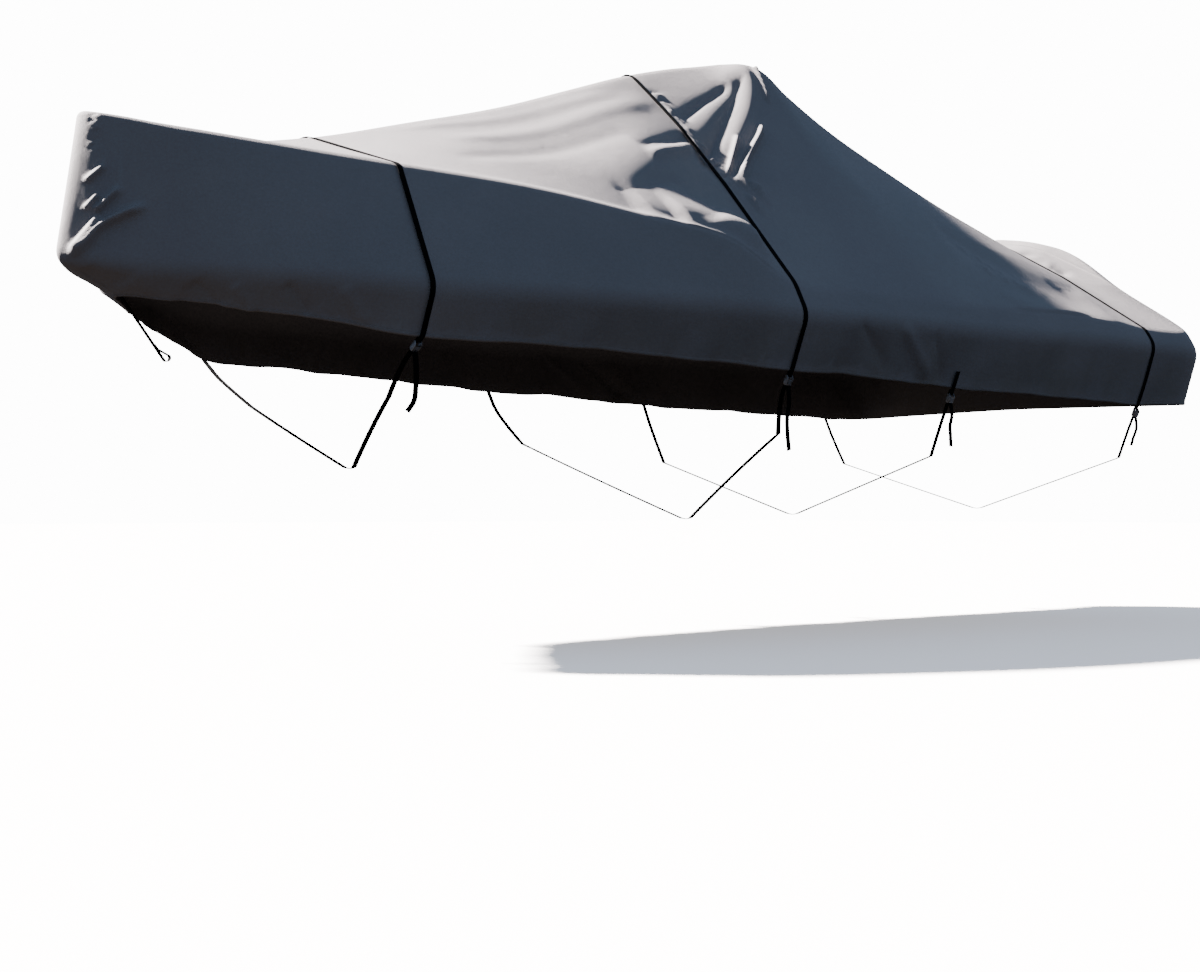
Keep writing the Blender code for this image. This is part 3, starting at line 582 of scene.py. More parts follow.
def girth_lengths(grid):
    """The length round the girth from the port hem to each point."""
    steps = np.linalg.norm(np.diff(grid, axis=1), axis=2)
    return np.concatenate([np.zeros((len(grid), 1)), np.cumsum(steps, axis=1)], axis=1)


def folded(grid):
    """The sheet's outer face with its folds and slack."""
    normals = grid_normals(grid)
    x, y, z = grid[:, :, 0], grid[:, :, 1], grid[:, :, 2]
    place = np.arange(grid.shape[1])[None, :]
    roof_start = first_roof_place()
    roof = (place > roof_start) & (place < grid.shape[1] - 1 - roof_start)
    lift = np.zeros(x.shape)
    for port, shift, share in ((True, 0.0, 1.0), (False, STARBOARD_SHIFT, STARBOARD_SHARE)):
        half = (y > 0.0) == port
        for fold in all_folds:
            on_roof = fold.face == "roof"
            height = fold_height(fold, x, np.abs(y) if on_roof else z, shift, share)
            lift += np.where(half & (roof == on_roof), height, 0.0)
    lift *= np.where(roof, smooth_step((x - QUIET_TRANSOM) / QUIET_FADE), 1.0)
    below_rail = smooth_step((SLACK_TOP - z) / SLACK_FADE_DOWN)
    below_rail *= smooth_step((SLACK_ENDS[1] - x) / SLACK_FADE_ALONG)
    below_rail *= smooth_step((x - SLACK_ENDS[0]) / SLACK_FADE_ALONG)
    for wavelength, slant, height, phase in HEM_WAVES:
        turn = np.where(y > 0.0, phase, phase + 1.3)
        lift += below_rail * height * np.sin(2 * math.pi * (x + slant * z) / wavelength + turn)
    for belt_x, depth in PRESSED:
        lift -= depth * np.exp(-((x - belt_x) / PRESS_REACH)**2)
    up_girth = girth_lengths(grid)
    from_hem = np.minimum(up_girth, up_girth[:, -1:] - up_girth)
    lift += HEM_BULGE * np.sin(math.pi * np.clip(from_hem / HEM_ROLL, 0.0, 1.0))
    tilt = ROOF_TILT * smooth_step(np.abs(y) / ROOF_TILT_REACH)
    upward = np.stack([np.zeros(y.shape), np.sin(tilt) * np.sign(y), np.cos(tilt)], axis=-1)
    return grid + np.where(roof[:, :, None], upward, normals) * lift[:, :, None]


SHEET_FACES = 92000     # triangles kept on one face of the cloth
CLOTH = 0.002           # its thickness, which grows inward from the outer face


def sheet_object(name, grid):
    """A mesh object of the grid, with the cloth's own lengths as UV coordinates in metres."""
    count, places = grid.shape[:2]
    number = np.arange(count * places).reshape(count, places)
    for end in (0, count - 1):
        number[end, places // 2 + 1:] = number[end, :places // 2][::-1]
    used, packed = np.unique(number, return_inverse=True)
    number = packed.reshape(count, places)
    corners = np.stack([number[:-1, :-1], number[:-1, 1:], number[1:, 1:], number[1:, :-1]], axis=-1)
    corners = corners.reshape(-1, 4)
    mesh = bpy.data.meshes.new(name)
    mesh.from_pydata((grid.reshape(-1, 3)[used] - ORIGIN).tolist(), [], corners.tolist())
    round_girth = girth_lengths(grid)
    middle = grid[:, :, 0].mean(axis=1)
    cut = np.stack([round_girth, np.broadcast_to(middle[:, None], round_girth.shape)], axis=-1)
    cut = np.stack([cut[:-1, :-1], cut[:-1, 1:], cut[1:, 1:], cut[1:, :-1]], axis=2).reshape(-1, 2)
    mesh.uv_layers.new(name="cloth").data.foreach_set("uv", cut.ravel())
    made = bpy.data.objects.new(name, mesh)
    bpy.context.scene.collection.objects.link(made)
    return made


def evaluated_mesh(source):
    """The mesh of an object with its modifiers, as new data."""
    bpy.context.view_layer.update()
    return bpy.data.meshes.new_from_object(source.evaluated_get(bpy.context.evaluated_depsgraph_get()))


def with_modifiers(made):
    """Puts the result of an object's modifiers in its own mesh."""
    mesh = evaluated_mesh(made)
    made.modifiers.clear()
    made.data = mesh
    return made


fine_grid = folded(plain_grid)
cover = sheet_object("cloth_cover", fine_grid)
thin = cover.modifiers.new("fewer faces where flat", "DECIMATE")
thin.ratio = min(1.0, SHEET_FACES / (2.0 * len(cover.data.polygons)))
thin.use_collapse_triangulate = True
with_modifiers(cover)
outer_face = cover.data.copy()
thickness = cover.modifiers.new("cloth thickness", "SOLIDIFY")
thickness.thickness = CLOTH
thickness.offset = -1.0
with_modifiers(cover)
cover.data.shade_smooth()
cover.data.materials.clear()
cover.data.materials.append(cloth_look)
print("cover:", len(cover.data.polygons), "faces")

# %% [markdown]
# ## Webbing
# A belt is a flat polyester web.  Over the cover it runs straight across every hollow, so its line is
# the convex line round the cloth below it and round the boat's chines and keel.  The web has rounded
# edges and fine ribs along it.

# %% The web's finish
def web_finish():
    finish = Finish("black_webbing", Roughness=0.85, Specular_IOR_Level=0.03)
    cut = finish.node("ShaderNodeUVMap", {"uv_map": "web"})
    across = finish.node("ShaderNodeSeparateXYZ", None, {0: cut}, out=0)
    along = finish.node("ShaderNodeSeparateXYZ", None, {0: cut}, out=1)
    place = finish.node("ShaderNodeTexCoord", None, None, out=3)
    dust = finish.noise(place, 40.0, 4.0, 0.6).rise(0.45, 0.80)
    colour = finish.blend(dust * 0.6, (0.0011, 0.0011, 0.0013, 1.0), (0.0030, 0.0028, 0.0026, 1.0))
    finish.feed(finish.shader.inputs["Base Color"], colour)
    ribs = weave_height(finish, across, along, 0.0025)
    finish.feed(finish.shader.inputs["Normal"], finish.bump(ribs, 0.0006, 0.7))
    return finish.material


web_look = web_finish()

# %% Belts and where they run
Belt = namedtuple("Belt", "name x chine keel_z lean buckle_drop tail")
BELTS = (
    Belt("fore", 4.60, (0.500, 0.487), 0.222, -0.235, 0.030,
         ((0.002, 0.012, -0.070), (0.000, 0.006, -0.140),
          (0.004, 0.002, -0.185), (0.026, -0.012, -0.228))),
    Belt("mid", 2.87, (0.872, 0.378), 0.010, -0.400, 0.030,
         ((0.004, 0.010, -0.070), (0.010, 0.004, -0.140),
          (0.006, 0.002, -0.200), (-0.016, -0.010, -0.275))),
    Belt("aft", 0.385, (0.925, 0.315), 0.060, -0.060, 0.030,
         ((0.000, 0.004, -0.060), (0.008, -0.010, -0.110), (0.010, -0.020, -0.145))),
)
HEM_STRAP = Belt("hem", 1.82, (0.900, 0.300), 0.030, -0.050, 0.036,
                 ((0.000, 0.008, -0.060), (0.006, 0.002, -0.110),
                  (0.000, 0.000, -0.150), (0.002, 0.004, -0.200)))
TAB_RISE = 0.075        # how far the hem strap is sewn up the band on each side
BOW_EYE = (5.222, 0.632)        # x, z of the middle of the eye at the bow strap's end
BOW_EYE_RADIUS = 0.014
BOW_EYE_LENGTH = 0.050          # from the eye's middle to where its end is sewn to the strap
BOW_SEWN = 0.045                # length of the bow strap sewn to the inside of the hem

WEB_WIDTH = 0.025
WEB_THICKNESS = 0.0020
GAP = 0.0004            # air between pieces that touch
TOP_BAR = 0.0028        # radius of the bar that the sewn end of a belt holds
CAM = 0.0050            # radius of the cam that the free end turns over
BUCKLE_LENGTH = 0.030   # from the top bar to the cam
SEWN_END = 0.022        # length of the sewn end behind the belt
CLEAR_OF_BUCKLE = 0.030 # length of the belt that stays straight below its buckle
ACROSS = Vector((1.0, 0.0, 0.0))
SIDE = Vector((0.0, 1.0, 0.0))
UP = Vector((0.0, 0.0, 1.0))
MIDDLE = Vector(ORIGIN)

# the web's section: share of the half width, share of the half thickness
WEB_SECTION = ((-1.0, -0.35), (-0.96, -0.85), (-0.88, -1.0), (-0.3, -1.0), (0.3, -1.0), (0.88, -1.0),
               (0.96, -0.85), (1.0, -0.35), (1.0, 0.35), (0.96, 0.85), (0.88, 1.0), (0.3, 1.0),
               (-0.3, 1.0), (-0.88, 1.0), (-0.96, 0.85), (-1.0, 0.35))


def web_offset(radius):
    """From a bar's middle to the middle of the web that bears on it."""
    return radius + GAP + WEB_THICKNESS / 2


def cloth_between(*slabs):
    """Points of the cloth between pairs of planes; each slab is an axis and its low and high limit."""
    cut = bmesh.new()
    cut.from_mesh(outer_face)
    for axis, low, high in slabs:
        for side, limit in ((-1.0, low), (1.0, high)):
            every = cut.verts[:] + cut.edges[:] + cut.faces[:]
            plane = axis * limit - MIDDLE
            bmesh.ops.bisect_plane(cut, geom=every, plane_co=plane, plane_no=axis * side, clear_outer=True)
    points = [vert.co + MIDDLE for vert in cut.verts]
    cut.free()
    return points


def taut_line(points, clearance):
    """The closed convex line round points, standing off by a clearance, port side first and upward."""
    hull = [points[i] for i in geometry.convex_hull_2d(points)]
    kept = [hull[0]]
    for point in hull[1:]:
        if (point - kept[-1]).length > 0.004:
            kept.append(point)
    if (kept[0] - kept[-1]).length <= 0.004:
        kept.pop()
    line = []
    for i, point in enumerate(kept):
        back = (point - kept[i - 1]).normalized()
        ahead = (kept[(i + 1) % len(kept)] - point).normalized()
        normal = (back + ahead).normalized()
        normal = Vector((normal.y, -normal.x))
        line.append(point + normal * clearance / max(normal.dot(Vector((back.y, -back.x))), 0.5))
    return line


def loop_from(line, start):
    """A closed line turned so that it starts at the corner nearest to `start`."""
    first = min(range(len(line)), key=lambda i: (line[i] - start).length)
    return line[first:] + line[:first]


def first_stretch(line, length):
    """The first stretch of a line, cut off at a length."""
    made = [line[0]]
    left = length
    for here, there in zip(line, line[1:]):
        span = (there - here).length
        if span >= left:
            made.append(here.lerp(there, left / span))
            break
        made.append(there)
        left -= span
    return made


def arc_points(centre, start, turn, steps):
    """Points on a circle in the y, z plane, from `start` through the angle `turn`."""
    arm = start - centre
    made = []
    for k in range(steps + 1):
        angle = turn * k / steps
        cosine, sine = math.cos(angle), math.sin(angle)
        made.append(centre + Vector((arm.x * cosine - arm.y * sine, arm.x * sine + arm.y * cosine)))
    return made


def smooth_line(points, steps):
    """A smooth curve of 3-D points through a few."""
    rows = [2 * points[0] - points[1]] + list(points) + [2 * points[-1] - points[-2]]
    return [Vector(point) for point in smooth_rows(rows, [steps] * (len(points) - 1))]


def finely(points, longest):
    """The same line with points added where two lie further apart than `longest`."""
    made = [points[0]]
    for point in points[1:]:
        parts = max(1, math.ceil((point - made[-1]).length / longest))
        start = made[-1]
        made.extend(start.lerp(point, k / parts) for k in range(1, parts + 1))
    return made


def web_object(name, path, across=ACROSS):
    """A web along a path; `across` is the direction of its width."""
    vertices, cut = [], []
    last = len(path) - 1
    around = len(WEB_SECTION)
    length = 0.0
    for i, point in enumerate(path):
        tangent = (path[min(i + 1, last)] - path[max(i - 1, 0)]).normalized()
        wide = (across - tangent * across.dot(tangent)).normalized()
        thick = tangent.cross(wide)
        stretch = 1.0
        if 0 < i < last:
            ahead = (path[i + 1] - point).normalized()
            stretch = 1.0 / max(ahead.dot(tangent), 0.75)
            length += (point - path[i - 1]).length
        for a, b in WEB_SECTION:
            reach = wide * (a * WEB_WIDTH / 2) + thick * (b * WEB_THICKNESS / 2 * stretch)
            vertices.append(point + reach - MIDDLE)
            cut.append((a * WEB_WIDTH / 2, length))
    faces = []
    for i in range(last):
        for k in range(around):
            a, b = around * i + k, around * i + (k + 1) % around
            faces.append((a, b, b + around, a + around))
    faces.append(tuple(reversed(range(around))))
    faces.append(tuple(around * last + k for k in range(around)))
    mesh = bpy.data.meshes.new(name)
    mesh.from_pydata(vertices, [], faces)
    turned = bmesh.new()
    turned.from_mesh(mesh)
    bmesh.ops.recalc_face_normals(turned, faces=turned.faces)
    turned.to_mesh(mesh)
    turned.free()
    layer = mesh.uv_layers.new(name="web")
    layer.data.foreach_set("uv", np.array([cut[loop.vertex_index] for loop in mesh.loops]).ravel())
    mesh.materials.append(web_look)
    mesh.shade_smooth()
    made = bpy.data.objects.new(name, mesh)
    bpy.context.scene.collection.objects.link(made)
    return made


# %% Make the belts
buckle_frames = {}      # where each buckle holds its web, with the directions outward and down


def path_length(path):
    return sum((there - here).length for here, there in zip(path, path[1:]))


def make_belt(belt):
    """One belt's web and, on the hem strap, the sewn tab on the port side, by the name of its solid."""
    is_hem_strap = belt is HEM_STRAP
    half = WEB_WIDTH / 2 + 0.001
    cloth_points = [point.yz for point in cloth_between((ACROSS, belt.x - half, belt.x + half))]
    hems = [min((point for point in cloth_points if point.x * side > 0.3), key=lambda point: point.y)
            for side in (1, -1)]
    keel = [Vector((side * 0.03, belt.keel_z + 0.004)) for side in (-1, 1)] + [Vector((0.0, belt.keel_z))]
    chines = [Vector((side * belt.chine[0], belt.chine[1])) for side in (-1, 1)]
    line = taut_line(cloth_points + keel + chines, GAP + WEB_THICKNESS / 2)
    line = loop_from(line, hems[0])
    start = line[0]
    down = (line[-1] - start).normalized()
    out = Vector((-down.y, down.x))
    if out.x < 0.0:
        out = -out
    top = start + down * belt.buckle_drop
    bottom = top + down * BUCKLE_LENGTH
    bar_middle = top - out * web_offset(TOP_BAR)
    cam_middle = bottom + out * web_offset(CAM)
    turn = -math.pi if down.x * out.y - down.y * out.x < 0.0 else math.pi
    sewn = arc_points(bar_middle, bar_middle - out * web_offset(TOP_BAR), turn, 8)
    sewn = [sewn[0] - down * SEWN_END] + sewn
    over_cam = arc_points(cam_middle, bottom, -turn, 8)
    over_cam.append(over_cam[-1] + down * 0.004)

    def lies_on_hull(point):
        share = min(max((bottom.y - CLEAR_OF_BUCKLE - point.y) / (bottom.y - belt.keel_z), 0.0), 1.0)
        return Vector((belt.x + belt.lean * share**1.3, point.x, point.y))

    tail_start = Vector((belt.x, over_cam[-1].x, over_cam[-1].y))
    tail = smooth_line([tail_start] + [tail_start + Vector(step) for step in belt.tail], 8)[1:]
    buckle_frames[belt.name] = (Vector((belt.x, top.x, top.y)), Vector((0.0, out.x, out.y)),
                                Vector((0.0, down.x, down.y)))
    made = {}
    if is_hem_strap:
        tab = sewn + first_stretch(line, TAB_RISE)
        tab = [Vector((belt.x, point.x, point.y)) for point in tab]
        made["hem_strap_tab"] = web_object("web_hem_strap_tab", tab)
        path_length(tab)
        far_side = loop_from(line, hems[1])
        far_tab = first_stretch([far_side[0]] + far_side[:0:-1], TAB_RISE)
        under = far_tab[::-1] + far_side[1:-1 - far_side[::-1].index(start)]
    else:
        under = sewn + line
    under = finely(under + [bottom + down * CLEAR_OF_BUCKLE, bottom], 0.05)
    path = [lies_on_hull(point) for point in under]
    path += [Vector((belt.x, point.x, point.y)) for point in over_cam[1:]] + tail
    name = "hem_strap" if is_hem_strap else belt.name + "_belt"
    made[name] = web_object("web_" + name, path)
    path_length(path)
    return made


def make_bow_strap():
    """A web sewn inside the hem at the stem and led straight down, its lower end sewn back as an eye."""
    hem, knuckle = Vector(RIBS[-1].hem), Vector(RIBS[-1].knuckle)
    inward = (knuckle - hem).normalized()
    rise = inward.cross(SIDE)
    half = WEB_WIDTH / 2
    cloth = cloth_between((SIDE, -half, half), (UP, 0.0, knuckle.z),
                          (ACROSS, hem.x - BOW_SEWN, hem.x + BOW_SEWN))
    cloth_top = max(rise.dot(point - hem) for point in cloth)
    hem += rise * (cloth_top + CLOTH + GAP + WEB_THICKNESS / 2)
    edge = hem - inward * 2 * WEB_THICKNESS
    eye = Vector((BOW_EYE[0], 0.0, BOW_EYE[1]))
    fore = (eye - edge).normalized().cross(SIDE)
    down = (eye + fore * BOW_EYE_RADIUS - edge).normalized()
    path = [hem + inward * BOW_SEWN, edge]
    turns = 16
    for k in range(turns + 1):
        angle = math.pi * k / turns
        path.append(eye + (fore * math.cos(angle) + down * math.sin(angle)) * BOW_EYE_RADIUS)
    seam = path[2] - down.cross(SIDE) * (WEB_THICKNESS + GAP)
    path += [seam - down * BOW_EYE_LENGTH, seam - down * (BOW_EYE_LENGTH + SEWN_END)]
    path_length(path)
    return {"bow_strap": web_object("web_bow_strap", finely(path, 0.05), SIDE)}


webs = make_bow_strap()
for belt in BELTS + (HEM_STRAP,):
    webs.update(make_belt(belt))

# %% [markdown]
# ## Cam buckles
# A cam buckle has two cheek plates.  The belt's sewn end is held by a bar between their tops; the free
# end comes up behind a toothed cam, turns over it and hangs down in front.  A ribbed thumb plate above
# the cam presses it open.  One buckle is built and set down four times.

# %% The buckle's finish
def buckle_finish():
    finish = Finish("dull_zinc", Metallic=1.0, Specular_IOR_Level=0.5)
    place = finish.node("ShaderNodeTexCoord", None, None, out=3)
    worn = finish.noise(place, 160.0, 4.0, 0.6).rise(0.40, 0.75)
    colour = finish.blend(worn, (0.235, 0.240, 0.250, 1.0), (0.130, 0.132, 0.138, 1.0))
    finish.feed(finish.shader.inputs["Base Color"], colour)
    finish.feed(finish.shader.inputs["Roughness"], 0.38 + worn * 0.25)
    grain = finish.noise(place, 900.0, 2.0)
    finish.feed(finish.shader.inputs["Normal"], finish.bump(grain, 0.0001, 0.4))
    return finish.material


buckle_look = buckle_finish()

# %% The buckle's parts
# Places are given as across, outward and down from where the bar holds the web.
CHEEK_INNER = WEB_WIDTH / 2 + 0.0012
CHEEK_THICKNESS = 0.0018
CHEEK_OUTLINE = ((-0.0078, -0.0022), (-0.0052, -0.0056), (0.0010, -0.0052), (0.0130, 0.0040),
                 (0.0156, 0.0100), (0.0158, 0.0300), (0.0140, 0.0350), (0.0100, 0.0378),
                 (0.0000, 0.0378), (-0.0050, 0.0340), (-0.0060, 0.0290), (-0.0078, 0.0060))
CAM_TEETH = 14
TOOTH = 0.0007
THUMB_OUTLINE = ((0.0146, 0.0070), (0.0154, 0.0062), (0.0162, 0.0300), (0.0176, 0.0335),
                 (0.0168, 0.0345), (0.0149, 0.0318))
GUIDE_OUTLINE = ((-0.0030, 0.0220), (-0.0016, 0.0220), (-0.0016, 0.0350), (-0.0030, 0.0360))
THUMB_RIBS = (0.0130, 0.0170, 0.0210, 0.0250)


def prism(outline, low, high):
    """A plate: an outline given as outward and down, from `low` to `high` across."""
    around = len(outline)
    points = [(across, *corner) for across in (low, high) for corner in outline]
    faces = [tuple(range(around)), tuple(reversed(range(around, 2 * around)))]
    faces += [(k, k + around, (k + 1) % around + around, (k + 1) % around) for k in range(around)]
    return points, faces


def round_outline(middle, radius, steps, tooth=0.0):
    """A circle as an outline, or a toothed wheel whose teeth stand in from the radius."""
    made = []
    for k in range(steps):
        angle = 2.0 * math.pi * k / steps
        reach = radius - tooth * (k % 2)
        made.append((middle[0] + reach * math.cos(angle), middle[1] + reach * math.sin(angle)))
    return made


def buckle_parts():
    """Every part of the buckle as points and faces, with the width by which its edges are rounded."""
    bar = (-web_offset(TOP_BAR), 0.0)
    cam = (web_offset(CAM), BUCKLE_LENGTH)
    outer = CHEEK_INNER + CHEEK_THICKNESS
    parts = []
    for side in (-1.0, 1.0):
        low, high = sorted((side * CHEEK_INNER, side * outer))
        parts.append((*prism(CHEEK_OUTLINE, low, high), 0.0004))
        low, high = sorted((side * outer, side * (outer + 0.0010)))
        parts.append((*prism(round_outline(bar, 0.0021, 20), low, high), 0.0003))
        parts.append((*prism(round_outline(cam, 0.0034, 24), low, high), 0.0004))
        parts.append((*prism(round_outline(cam, 0.0011, 12), low * 1.02, high * 1.02), 0.0002))
    parts.append((*prism(round_outline(bar, TOP_BAR, 28), -outer, outer), 0.0002))
    parts.append((*prism(round_outline(cam, CAM, 2 * CAM_TEETH, TOOTH), -CHEEK_INNER, CHEEK_INNER), 0.0001))
    parts.append((*prism(THUMB_OUTLINE, -CHEEK_INNER, CHEEK_INNER), 0.0003))
    parts.append((*prism(GUIDE_OUTLINE, -CHEEK_INNER, CHEEK_INNER), 0.0003))
    for down in THUMB_RIBS:
        parts.append((*prism(round_outline((0.0158, down), 0.0009, 12), -0.0095, 0.0095), 0.0002))
    return parts


def buckle_object(name, frame):
    """A buckle set down in a frame of a place, an outward and a downward direction."""
    place, outward, down = frame
    made = bmesh.new()
    for points, faces, edge in buckle_parts():
        part = bmesh.new()
        corners = [part.verts.new(place + ACROSS * a + outward * b + down * c - MIDDLE)
                   for a, b, c in points]
        for face in faces:
            part.faces.new([corners[k] for k in face])
        bmesh.ops.recalc_face_normals(part, faces=part.faces)
        bmesh.ops.bevel(part, geom=part.edges[:], offset=edge, segments=2, profile=0.5,
                        affect="EDGES", clamp_overlap=True)
        shape = bpy.data.meshes.new("buckle_part")
        part.to_mesh(shape)
        part.free()
        made.from_mesh(shape)
        bpy.data.meshes.remove(shape)
    mesh = bpy.data.meshes.new(name)
    made.to_mesh(mesh)
    made.free()
    mesh.materials.append(buckle_look)
    mesh.shade_smooth()
    mesh.set_sharp_from_angle(angle=math.radians(40.0))
    placed = bpy.data.objects.new(name, mesh)
    bpy.context.scene.collection.objects.link(placed)
    return placed


buckles = {name + "_buckle": buckle_object("cam_buckle_" + name, frame)
           for name, frame in buckle_frames.items()}
print("buckles:", {name: len(made.data.polygons) for name, made in buckles.items()})

# %% [markdown]
# ## Stitching
# The rolled hem is held by two rows of stitches.  One stitch is a short length of thread; Geometry
# Nodes sets it down along each row at an even pitch, turned along the row, and each a little different.

# %% The stitch and the row of stitches
STITCH_LENGTH = 0.0036
STITCH_RADIUS = 0.0005
STITCH_PITCH = 0.0055
HEM_ROWS = (0.013, 0.019)       # distances of the two rows from the edge of the hem


def thread_finish():
    finish = Finish("polyester_thread", Roughness=0.6, Specular_IOR_Level=0.3)
    place = finish.node("ShaderNodeTexCoord", None, None, out=3)
    grey = finish.noise(place, 30.0, 3.0).rise(0.3, 0.8)
    colour = finish.blend(grey, (0.055, 0.052, 0.055, 1.0), (0.110, 0.104, 0.104, 1.0))
    finish.feed(finish.shader.inputs["Base Color"], colour)
    return finish.material


thread_look = thread_finish()


def stitch_object():
    """One stitch: a spindle of thread that stands along z."""
    rings = ((-0.5, 0.35), (-0.28, 1.0), (0.28, 1.0), (0.5, 0.35))
    sides = 4
    points = []
    for along, width in rings:
        for k in range(sides):
            angle = 2.0 * math.pi * k / sides
            reach = STITCH_RADIUS * width
            points.append((reach * math.cos(angle), reach * math.sin(angle), along * STITCH_LENGTH))
    faces = [tuple(reversed(range(sides))), tuple(range(3 * sides, 4 * sides))]
    for ring in range(len(rings) - 1):
        for k in range(sides):
            a, b = ring * sides + k, ring * sides + (k + 1) % sides
            faces.append((a, b, b + sides, a + sides))
    mesh = bpy.data.meshes.new("stitch")
    mesh.from_pydata(points, [], faces)
    mesh.shade_smooth()
    return bpy.data.objects.new("stitch", mesh)


def stitch_tree():
    """Geometry nodes: a line becomes a row of stitches."""
    tree = bpy.data.node_groups.new("stitch_row", "GeometryNodeTree")
    for name, kind in (("Row", "Geometry"), ("Stitch", "Object"), ("Thread", "Material"),
                       ("Pitch", "Float"), ("Seed", "Int")):
        tree.interface.new_socket(name=name, in_out="INPUT", socket_type="NodeSocket" + kind)
    tree.interface.new_socket(name="Stitches", in_out="OUTPUT", socket_type="NodeSocketGeometry")

    def add(kind, links=(), **settings):
        node = tree.nodes.new(kind)
        for key, value in settings.items():
            setattr(node, key, value)
        for socket, source in links:
            tree.links.new(source, node.inputs[socket])
        return node

    given = add("NodeGroupInput").outputs
    line = add("GeometryNodeMeshToCurve", [("Mesh", given["Row"])])
    places = add("GeometryNodeCurveToPoints", [("Curve", line.outputs[0]), ("Length", given["Pitch"])],
                 mode="LENGTH")
    info = add("GeometryNodeObjectInfo", [("Object", given["Stitch"])])
    size = add("FunctionNodeRandomValue", [("Seed", given["Seed"])], data_type="FLOAT")
    size.inputs[2].default_value = 0.85
    size.inputs[3].default_value = 1.12
    rows = add("GeometryNodeInstanceOnPoints",
               [("Points", places.outputs["Points"]), ("Instance", info.outputs["Geometry"]),
                ("Rotation", places.outputs["Rotation"]), ("Scale", size.outputs[1])])
    real = add("GeometryNodeRealizeInstances", [("Geometry", rows.outputs[0])])
    dyed = add("GeometryNodeSetMaterial", [("Geometry", real.outputs[0]), ("Material", given["Thread"])])
    add("NodeGroupOutput", [(0, dyed.outputs[0])])
    return tree


stitch = stitch_object()
row_tree = stitch_tree()


def stitch_rows(name, lines, seed):
    """Rows of stitches along lines of points, as one plain mesh."""
    points, edges = [], []
    for line in lines:
        first = len(points)
        points.extend(line)
        edges.extend((k, k + 1) for k in range(first, len(points) - 1))
    mesh = bpy.data.meshes.new(name)
    mesh.from_pydata(points, edges, [])
    rows = bpy.data.objects.new(name, mesh)
    bpy.context.scene.collection.objects.link(rows)
    sewing = rows.modifiers.new("stitches", "NODES")
    sewing.node_group = row_tree
    given = {"Stitch": stitch, "Thread": thread_look, "Pitch": STITCH_PITCH, "Seed": seed}
    for item in row_tree.interface.items_tree:
        if item.name in given:
            sewing[item.identifier] = given[item.name]
    return with_modifiers(rows)


# %% Sew the hem
def on_cloth(surface, points, above=STITCH_RADIUS * 0.5):
    """Points near the cloth's outer side brought down on to it."""
    found = [surface.find_nearest(Vector(point)) for point in points]
    return [place + normal * above for place, normal, _, _ in found]


JUST_OUTSIDE = 0.004


def hem_line(distance):
    """The line round the whole hem at a distance from its edge, a little outside the cloth."""
    up_girth = girth_lengths(fine_grid)
    normals = grid_normals(fine_grid)
    from_starboard = up_girth[:, -1:] - up_girth[:, ::-1]
    sides = ((up_girth, fine_grid, normals), (from_starboard, fine_grid[:, ::-1], normals[:, ::-1]))
    halves = []
    for lengths, grid, outward in sides:
        line = []
        for station in range(len(grid)):
            axes = zip(grid[station].T, outward[station].T)
            line.append([np.interp(distance, lengths[station], place + normal * JUST_OUTSIDE)
                         for place, normal in axes])
        halves.append(np.array(line) - ORIGIN)
    return np.concatenate([halves[0], halves[1][::-1]])


cover_surface = BVHTree.FromPolygons([vert.co for vert in cover.data.vertices],
                                     [face.vertices for face in cover.data.polygons])
sewn_lines = [on_cloth(cover_surface, hem_line(row)) for row in HEM_ROWS]
hem_stitches = stitch_rows("stitches_hem", sewn_lines, 5)
print("hem stitching:", len(hem_stitches.data.polygons), "faces")

# %% [markdown]
# ## Light and floor
# One strong, slightly soft key light stands high on the starboard side, a little ahead, so the top is
# lit and the near side lies in shade that a pale blue surround fills.  The surround is white where the
# camera sees it.  The floor is pale for the camera too, but it throws little light back: a bright floor
# would light the band below the rub rail as much as the top.

# %% Light
KEY_DIRECTION = Vector((0.42, -0.66, 0.62))
KEY_STRENGTH = 90.0
SURROUND = (0.46, 0.66, 1.0, 1.0)
SURROUND_STRENGTH = 0.69
BACKDROP_STRENGTH = 14.0        # of the white that only the camera sees

world = bpy.data.worlds.new("surround")
bpy.context.scene.world = world
world.use_nodes = True
tree = world.node_tree
tree.nodes.clear()


def world_node(kind, colour=None, strength=None):
    made = tree.nodes.new(kind)
    if colour:
        made.inputs["Color"].default_value = colour
        made.inputs["Strength"].default_value = strength
    return made


seen = world_node("ShaderNodeBackground", (1.0, 1.0, 1.0, 1.0), BACKDROP_STRENGTH)
fill = world_node("ShaderNodeBackground", SURROUND, SURROUND_STRENGTH)
rays = world_node("ShaderNodeLightPath")
choice = world_node("ShaderNodeMixShader")
output = world_node("ShaderNodeOutputWorld")
tree.links.new(rays.outputs["Is Camera Ray"], choice.inputs[0])
tree.links.new(fill.outputs[0], choice.inputs[1])
tree.links.new(seen.outputs[0], choice.inputs[2])
tree.links.new(choice.outputs[0], output.inputs[0])

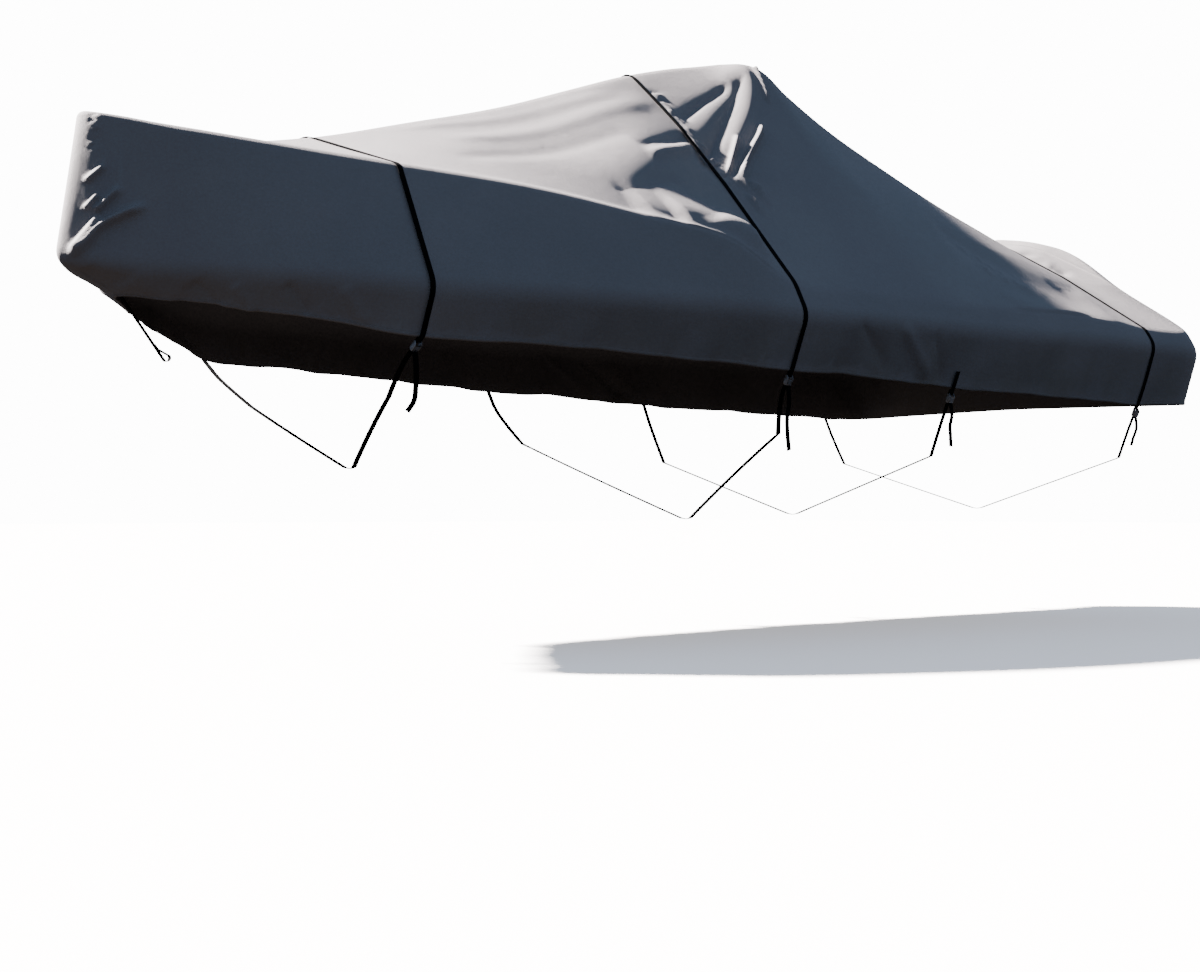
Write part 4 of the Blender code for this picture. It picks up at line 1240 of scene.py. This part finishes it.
key = bpy.data.objects.new("key_light", bpy.data.lights.new("key_light", "SUN"))
bpy.context.scene.collection.objects.link(key)
key.rotation_euler = KEY_DIRECTION.to_track_quat("Z", "Y").to_euler()
key.data.energy = KEY_STRENGTH
key.data.angle = math.radians(3.0)
key.data.color = (1.0, 0.93, 0.90)

# %% Floor
FLOOR = -2.66
FLOOR_REACH = 60.0
FLOOR_GLOW = 0.45               # its own light, for the camera alone
floor_finish = bpy.data.materials.new("pale_floor")
floor_finish.use_nodes = True
tree = floor_finish.node_tree
tree.nodes.clear()
pale = tree.nodes.new("ShaderNodeBsdfDiffuse")
pale.inputs["Color"].default_value = (0.86, 0.86, 0.86, 1.0)
glow = tree.nodes.new("ShaderNodeEmission")
glow.inputs["Color"].default_value = (1.0, 0.92, 0.84, 1.0)
glow.inputs["Strength"].default_value = FLOOR_GLOW
lifted = tree.nodes.new("ShaderNodeAddShader")
tree.links.new(pale.outputs[0], lifted.inputs[0])
tree.links.new(glow.outputs[0], lifted.inputs[1])
dull = tree.nodes.new("ShaderNodeBsdfDiffuse")
dull.inputs["Color"].default_value = (0.011, 0.010, 0.0095, 1.0)
rays = tree.nodes.new("ShaderNodeLightPath")
choice = tree.nodes.new("ShaderNodeMixShader")
output = tree.nodes.new("ShaderNodeOutputMaterial")
tree.links.new(rays.outputs["Is Camera Ray"], choice.inputs[0])
tree.links.new(dull.outputs[0], choice.inputs[1])
tree.links.new(lifted.outputs[0], choice.inputs[2])
tree.links.new(choice.outputs[0], output.inputs[0])
corners = [(-1, -1), (1, -1), (1, 1), (-1, 1)]
floor_mesh = bpy.data.meshes.new("floor")
floor_mesh.from_pydata([(x * FLOOR_REACH, y * FLOOR_REACH, FLOOR) for x, y in corners], [], [(0, 1, 2, 3)])
floor_mesh.materials.append(floor_finish)
floor = bpy.data.objects.new("floor", floor_mesh)
bpy.context.scene.collection.objects.link(floor)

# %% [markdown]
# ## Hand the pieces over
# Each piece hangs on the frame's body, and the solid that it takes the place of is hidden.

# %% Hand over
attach(cover, "root")
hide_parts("cover")
for solid, web in webs.items():
    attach(web, "root")
    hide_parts(solid)

for solid, made in buckles.items():
    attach(made, "root")
    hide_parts(solid)
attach(hem_stitches, "root")
